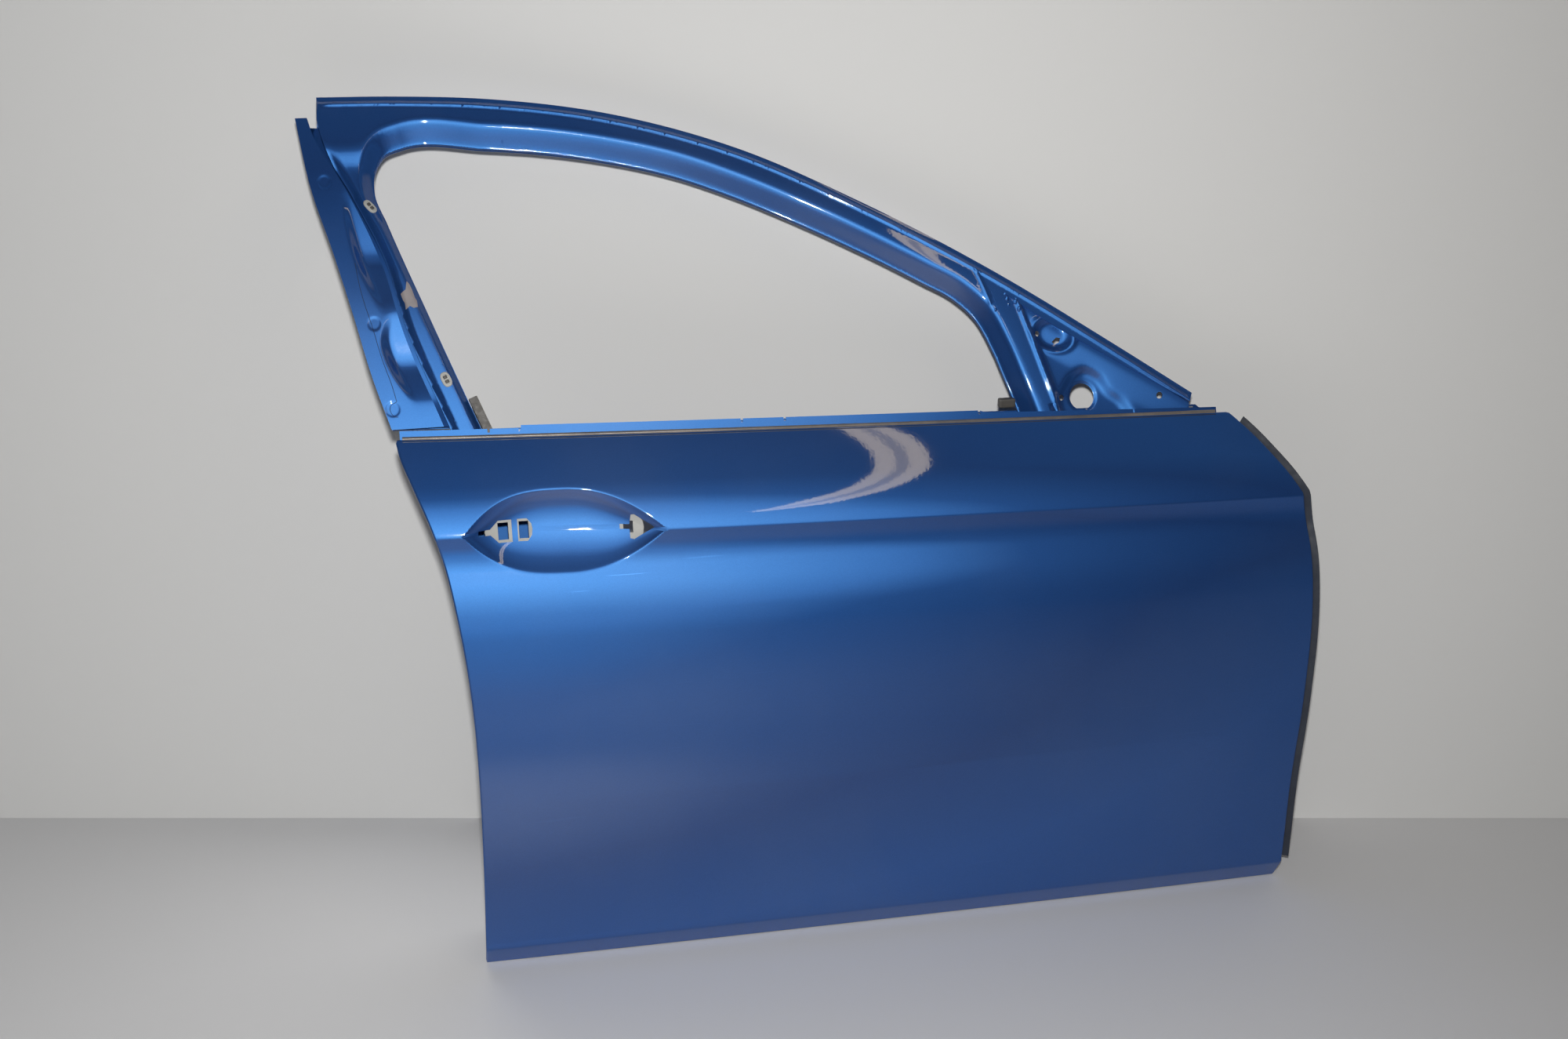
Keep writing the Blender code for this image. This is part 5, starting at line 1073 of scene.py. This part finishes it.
# The mirror corner: a pressing lapped behind the roof rail and the front post. Its floor lies
# lower than the post; a swage steps down round the wiring hole, and an embossed bulb with a
# slot takes the mirror's locating hook.
SAIL_STEP, SAIL_FLOOR, SAIL_WALL, SAIL_FOOT = 0.006, 0.007, 0.006, 0.008
SEAM_LAP, RIM_LAP, RIDGE_OFFSET = 0.008, 0.003, 0.017
SAIL_FALL, SWAGE_WALL = 0.032, 0.010
POST_RIDGE, RIDGE_HEIGHT, RIDGE_SPREAD = 0.0132, 0.0022, 0.0032
BULB = (0.8035, 0.7700, 0.0205)
BULB_RIM, BULB_RIM_AWAY, BULB_RIM_SPREAD = 0.0016, 0.002, 0.0035
COLLAR_HEIGHT, COLLAR_WIDTH = 0.0022, 0.0035
SWAGE = [(0.800, 0.684), (0.8110, 0.6998), (0.8270, 0.7186), (0.8423, 0.7244), (0.8611, 0.7158),
         (0.8745, 0.6961), (0.8918, 0.6820), (0.9025, 0.6650)]
WIRE_HOLE = (0.839, 0.6915, 0.0168)
SCREW_HOLES = [(0.7835, 0.7731, 0.0034), (0.8097, 0.6915, 0.0038), (0.9434, 0.6855, 0.0042)]
HOOK_SLOT = [(0.8030, 0.7620), (0.8096, 0.7672), (0.8148, 0.7656), (0.8126, 0.7606),
             (0.8062, 0.7588)]


def round_hole(x, z, radius, sides):
    turns = 2 * math.pi * np.arange(sides) / sides
    return np.column_stack((x + radius * np.cos(turns), z + radius * np.sin(turns)))


def sail_depth(x, z):
    """Depth of the mirror corner behind the plane of the frame."""
    points = np.column_stack((x, z))
    ahead = x - np.interp(-z, -SEAM[:, 1], SEAM[:, 0])
    floor = SAIL_FLOOR * bent([(RIDGE_OFFSET, 0), (RIDGE_OFFSET + SAIL_WALL, 1)], ahead, 0.0025)
    edge = SAIL_FLOOR * bent([(WEB, 0), (WEB + SAIL_FALL, 1)], away_from(SAIL_RIM, points), 0.006)
    under = (ROOF_DROP + SEAT_GAP) * bent([(ROOF_STEP, 1), (ROOF_STEP + WEB, 0)],
                                          away_from(ROOF, points), 0.001)
    lower = -larger(-floor, -edge, 0.0006)
    from_swage = away_from(SWAGE_LINE, points) * np.where(
        z > np.interp(x, SWAGE_LINE[:, 0], SWAGE_LINE[:, 1]), -1.0, 1.0)
    step = bent([(-SWAGE_WALL / 2, 0), (SWAGE_WALL / 2, 1)], from_swage, 0.0035)
    step = SAIL_STEP * step * bent([(WEB, 0), (WEB + SAIL_WALL, 1)], ahead, 0.002)
    from_bulb = np.hypot((x - BULB[0]) / 1.25, (z - BULB[1] + 0.15 * (x - BULB[0])) / 0.95)
    ridge = RIDGE_HEIGHT * np.exp(-((ahead - POST_RIDGE) / RIDGE_SPREAD) ** 2)
    bulb = SAIL_STEP * bent([(BULB[2] - 0.007, 1), (BULB[2], 0)], from_bulb, 0.0022)
    rim = BULB_RIM * np.exp(-((from_bulb - BULB[2] - BULB_RIM_AWAY) / BULB_RIM_SPREAD) ** 2)
    from_wire = np.hypot(x - WIRE_HOLE[0], z - WIRE_HOLE[1]) - WIRE_HOLE[2]
    collar = COLLAR_HEIGHT * bent([(0.0, 1.0), (COLLAR_WIDTH, 0.0)], from_wire, 0.001)
    return FRAME_STACK + larger(lower, under, 0.0006) + step + bulb - rim + collar - ridge


def sail_place(x, z):
    return frame_place(x, z, sail_depth(x, z))


SWAGE_LINE = spread(SWAGE, 0.004)
rim = beside(SAIL_RIM, RIM_LAP)[1:-1]
tip = np.array([(SAIL_RIM[-1][0], SAIL_RIM[-1][1] - SEAT_GAP)])
corner_x = float(np.interp(-(belt_z(SEAM[-1][0]) - SAIL_FOOT), -SEAM[:, 1], SEAM[:, 0]))
foot_x = np.append(np.linspace(tip[0][0], corner_x + RIM_LAP, 40), corner_x - SEAM_LAP)
sail_foot = np.column_stack((foot_x, belt_z(foot_x) - SAIL_FOOT))
sail_side = beside(SEAM, -SEAM_LAP)
sail_side = sail_side[sail_side[:, 1] > sail_foot[-1][1] + WEB]
sail_outline = np.vstack((rim, tip, sail_foot, sail_side[::-1]))
sail_holes = [round_hole(*WIRE_HOLE, 48)] + [round_hole(*hole, 20) for hole in SCREW_HOLES]
sail_holes.append(straight(HOOK_SLOT, 0.0015))
sail_free = inner_points(sail_outline, sail_holes, net(0.74, 1.0, 0.66, 0.83, 0.0022), 0.0009)
pressing("sail_pressing", "sail_panel", FRAME_PAINT, sail_place, sail_outline, sail_holes, [],
         sail_free, FRAME_SHEET)


# The outer belt stiffener: a rolled strip behind the hem of the skin. Only its upright flange
# shows above the hem, with a few small notches; its web runs down inside the door.
HEM_DEPTH = 0.0048
BELT_FLANGE, BELT_FLANGE_REAR = 0.0115, 0.008
BELT_WEB, BELT_RIB, BELT_RIB_FALL = 0.055, 0.016, 0.003
BELT_NOTCHES = [0.052, 0.091, 0.374, 0.430, 0.690, 0.905]
NOTCH_WIDTH, NOTCH_DEPTH = 0.003, 0.0045
BELT_ENDS = (-0.058, 1.022)
FRONT_FLANGE = ([0.69, 0.70, 1.02], [0.0115, 0.0085, 0.0045])
FLANGE_SHARES = (0.0, 0.12, 0.3, 0.6, 0.9, 1.0)


def behind_skin(x, z, depth):
    """Points at a depth behind the outer face of the skin."""
    points, normals = lifted(skin_place, np.column_stack((x, z)))
    return points - normals * depth


def strip(name, node, material, rows, thickness):
    """Rolled strip through equal rows of points; its smooth normals come from the rows."""
    rows = np.asarray(rows)
    along, across = np.gradient(rows, axis=0), np.gradient(rows, axis=1)
    normals = np.cross(along, across)
    normals /= np.maximum(np.linalg.norm(normals, axis=2), 1e-12)[:, :, None]
    if normals[:, :, 1].sum() > 0:
        normals = -normals
    count, wide = rows.shape[:2]
    index = np.arange(count * wide).reshape(count, wide)
    quads = np.stack((index[:-1, :-1], index[:-1, 1:], index[1:, 1:], index[1:, :-1]), axis=-1)
    faces = quads.reshape(-1, 4)
    points, normals = rows.reshape(-1, 3), normals.reshape(-1, 3)
    if face_normal(points, faces[0]) @ normals[faces[0, 0]] < 0:
        faces = faces[:, ::-1]
    border = np.concatenate((index[0], index[1:, -1], index[-1, -2::-1], index[-2:0:-1, 0]))
    edges = list(zip(np.roll(border, -1), border))
    piece = sheet_piece(name, points, normals, faces, edges, thickness, material)
    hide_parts(node)
    return piece


belt_x = [np.linspace(*BELT_ENDS, 260)]
for notch in BELT_NOTCHES:
    belt_x.append(notch + np.array([-0.0016, -0.0014, 0.0014, 0.0016]))
belt_x = np.sort(np.concatenate(belt_x))
belt_top = belt_z(belt_x)
belt_rise = np.where(belt_x > BELT_NOTCHES[1], BELT_FLANGE, BELT_FLANGE_REAR)
belt_rise = np.where(belt_x > BELT_NOTCHES[4], np.interp(belt_x, *FRONT_FLANGE), belt_rise)
for notch in BELT_NOTCHES:
    belt_rise = belt_rise - NOTCH_DEPTH * (np.abs(belt_x - notch) < NOTCH_WIDTH / 2)
hem_back, web_back = HEM_DEPTH + SEAT_GAP, SKIN_SHEET + SEAT_GAP
behind_wall = belt_x < 0.0


def belt_row(down, depth, inboard, raise_by):
    """Row of the strip; behind the lock wall the web is left out, so its rows draw together."""
    down = np.where(behind_wall, np.minimum(down, 0.0085 + down * 0.01), down)
    row = behind_skin(belt_x, belt_top - down, np.where(behind_wall, hem_back, depth)[:, None])
    return row + np.where(behind_wall, 0.0, 1.0)[:, None] * np.array((0, inboard, raise_by))


belt_rows = [belt_row(*values) for values in (
    (BELT_WEB, web_back, BELT_RIB, -BELT_RIB_FALL),
    (BELT_WEB - 0.0002, web_back, BELT_RIB * 0.2, -0.001),
    (BELT_WEB - 0.0008, web_back, 0.0005, 0.0), (BELT_WEB - 0.004, web_back, 0, 0),
    (0.016, web_back, 0, 0), (0.0145, web_back + 0.0005, 0, 0),
    (0.0115, hem_back - 0.0005, 0, 0), (0.010, hem_back, 0, 0))]
upright = behind_skin(belt_x, belt_top, hem_back)
belt_rows.append(upright - np.array((0, FRAME_TILT * 0.002, 0.003)))
rise = belt_top + belt_rise - upright[:, 2]
for share in FLANGE_SHARES:
    belt_rows.append(upright + (rise * share)[:, None] * np.array((0, FRAME_TILT, 1.0)))
strip("belt_strip", "outer_belt_reinforcement", FRAME_PAINT, np.stack(belt_rows, axis=1),
      FRAME_SHEET)


# The fold of the belt hem: a narrow round bead along the top edge of the skin, coloured grey as
# a painted reflection of the lit wall and ceiling in its round fold. A thin dark line under it is
# a painted shadow in the gap below the fold.
HEM_PAINTED_REFLECTION = worn_finish("hem_painted_reflection", (0.21, 0.185, 0.165), (0.11, 0.105, 0.11), 0.35, 0.28, 0.45,
                         (500.0, 12.0), 1200.0, 0.15)
# The grey bead is a painted reflection; the dark line under it is a painted shadow.
HEM_BEADS = [("belt_hem_bead", 0.0002, 0.0029, HEM_PAINTED_REFLECTION),
             ("belt_hem_shadow_line", -0.0034, 0.0017, SEALER_AND_SHADOW)]
HEM_BEAD_DEPTH = 0.0014
hem_x = np.linspace(-0.055, 1.018, 300)


def hem_place(x, z):
    return behind_skin(x, z, HEM_BEAD_DEPTH)


for name, height, radius, material in HEM_BEADS:
    bead_line(name, np.column_stack((hem_x, belt_z(hem_x) + height)), hem_place, radius, material)


# The front gap seal: a moulded rubber lip clipped along the front edge of the skin. It closes
# the gap to the front wing, so its outer edge is thin and free.
SEAL_SEAT = 0.011
SEAL_SECTION = [(-SEAL_SEAT, 0.0053), (-0.004, 0.0053), (0.0005, 0.0052), (0.003, 0.0042),
                (0.0055, 0.0028), (0.0075, 0.0014), (0.0087, 0.0010), (0.0094, 0.0016),
                (0.0094, 0.0028), (0.0080, 0.0050), (0.0060, 0.0074), (0.0035, 0.0088),
                (0.0010, 0.0093), (-0.004, 0.0093), (-SEAL_SEAT, 0.0093)]
seal_z = np.linspace(0.038, 0.646, 130)
seal_edge = np.column_stack((front_x(seal_z), seal_z))
seal_along = unit(np.gradient(seal_edge, axis=0))
seal_out = np.column_stack((seal_along[:, 1], -seal_along[:, 0]))
seal_rows = [behind_skin(*(seal_edge + seal_out * reach).T, depth) for reach, depth in SEAL_SECTION]
seal = ringed_piece("front_seal_lip", np.stack(seal_rows, axis=1), FINISHES["black_rubber"])
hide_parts("front_gap_seal")


# The swages of the inner panel: ribs pressed round its openings and across its flat areas so that
# the sheet doesn't drum, and black push-in plugs in the holes for the trim.
SERVICE_OPENING = [(0.110, 0.250), (0.150, 0.215), (0.560, 0.235), (0.610, 0.275), (0.640, 0.360),
                   (0.660, 0.500), (0.630, 0.545), (0.200, 0.560), (0.150, 0.530), (0.120, 0.420)]
FRONT_OPENING = [(0.740, 0.400), (0.770, 0.375), (0.930, 0.375), (0.960, 0.400), (0.965, 0.500),
                 (0.930, 0.540), (0.760, 0.545), (0.730, 0.510)]
SPEAKER = (0.860, 0.215, 0.080)
RIB_AWAY, RIB_RADIUS = 0.020, 0.0034
PANEL_RIBS = [[(0.155, 0.070), (0.30, 0.074), (0.375, 0.070)],
              [(0.465, 0.070), (0.56, 0.074), (0.650, 0.068)],
              [(0.695, 0.300), (0.702, 0.380), (0.698, 0.470)],
              [(0.150, 0.606), (0.45, 0.603), (0.80, 0.592), (0.960, 0.578)],
              [(0.170, 0.165), (0.35, 0.172), (0.560, 0.176)]]
TRIM_PLUGS = [(0.070, 0.300), (0.066, 0.450), (0.200, 0.590), (0.420, 0.588), (0.640, 0.582),
              (0.700, 0.340), (0.840, 0.340), (0.986, 0.440), (0.980, 0.320), (0.240, 0.095),
              (0.520, 0.095), (0.800, 0.095)]
PLUG_HALF, PLUG_POWER = (0.0075, 0.0075), 2.0
PLUG_STEPS = [(1.0, -0.0005), (1.0, 0.0010), (0.86, 0.0018), (0.50, 0.0020), (0.45, 0.0006)]
panel_tree = BVHTree.FromObject(bpy.data.objects["inner_panel"],
                                bpy.context.evaluated_depsgraph_get())


def panel_place(x, z):
    """Inboard face of the inner panel."""
    points = []
    for at_x, at_z in zip(x, z):
        start = Vector((at_x - ORIGIN[0], 0.5, at_z - ORIGIN[2]))
        hit = panel_tree.ray_cast(start, Vector((0, -1, 0)))[0]
        points.append((at_x, (hit.y if hit else 0.0) + ORIGIN[1], at_z))
    return np.array(points)


def grown(loop, distance):
    """Closed loop, each corner moved out from the middle."""
    loop = np.array(loop + loop[:1])
    return loop + unit(loop - loop[:-1].mean(axis=0)) * distance


ribs = [grown(SERVICE_OPENING, RIB_AWAY), grown(FRONT_OPENING, RIB_AWAY * 0.8),
        np.vstack((round_hole(*SPEAKER[:2], SPEAKER[2] + RIB_AWAY, 24),
                   [(SPEAKER[0] + SPEAKER[2] + RIB_AWAY, SPEAKER[1])]))] + PANEL_RIBS
for rib in ribs:
    bead_line("panel_rib", rib, panel_place, RIB_RADIUS, FRAME_PAINT)
for x, z in TRIM_PLUGS:
    oval_piece("trim_plug", panel_place([x], [z])[0], *np.eye(3)[[0, 2, 1]], PLUG_HALF, PLUG_STEPS,
               PLUG_POWER, FINISHES["dark_plastic"])


# The inner panel, the stiffeners and the brackets keep the shapes of their solids; each bend and
# cut edge gets the radius that a press or a mould leaves.
EDGE_RADII = {
    0.0030: ["inner_panel"],
    0.0020: ["upper_damping_pad", "lower_damping_pad"],
    0.0012: ["inner_belt_reinforcement", "impact_beam", "beam_bracket_front", "beam_bracket_rear",
             "handle_carrier"],
    0.0010: ["mirror_reinforcement", "upper_hinge_reinforcement", "lower_hinge_reinforcement",
             "check_strap_reinforcement", "lock_reinforcement"],
    0.0008: ["rear_frame_bracket", "front_frame_bracket", "access_plug_1", "access_plug_2",
             "access_plug_3"],
    0.0006: ["rear_guide_channel", "front_guide_channel", "front_guide_foot", "mastic_bead_1",
             "mastic_bead_2", "mastic_bead_3"]}
for radius, name in [(radius, name) for radius, names in EDGE_RADII.items() for name in names]:
    node = bpy.data.objects[name]
    flat = node.modifiers.new("flat_faces", 'DECIMATE')
    flat.decimate_type = 'DISSOLVE'
    flat.angle_limit = math.radians(2)
    round_edges = node.modifiers.new("press_radius", 'BEVEL')
    round_edges.width = radius
    round_edges.segments = 3
    round_edges.limit_method = 'ANGLE'
    round_edges.angle_limit = math.radians(32)
    round_edges.harden_normals = True
    node.data.shade_smooth()
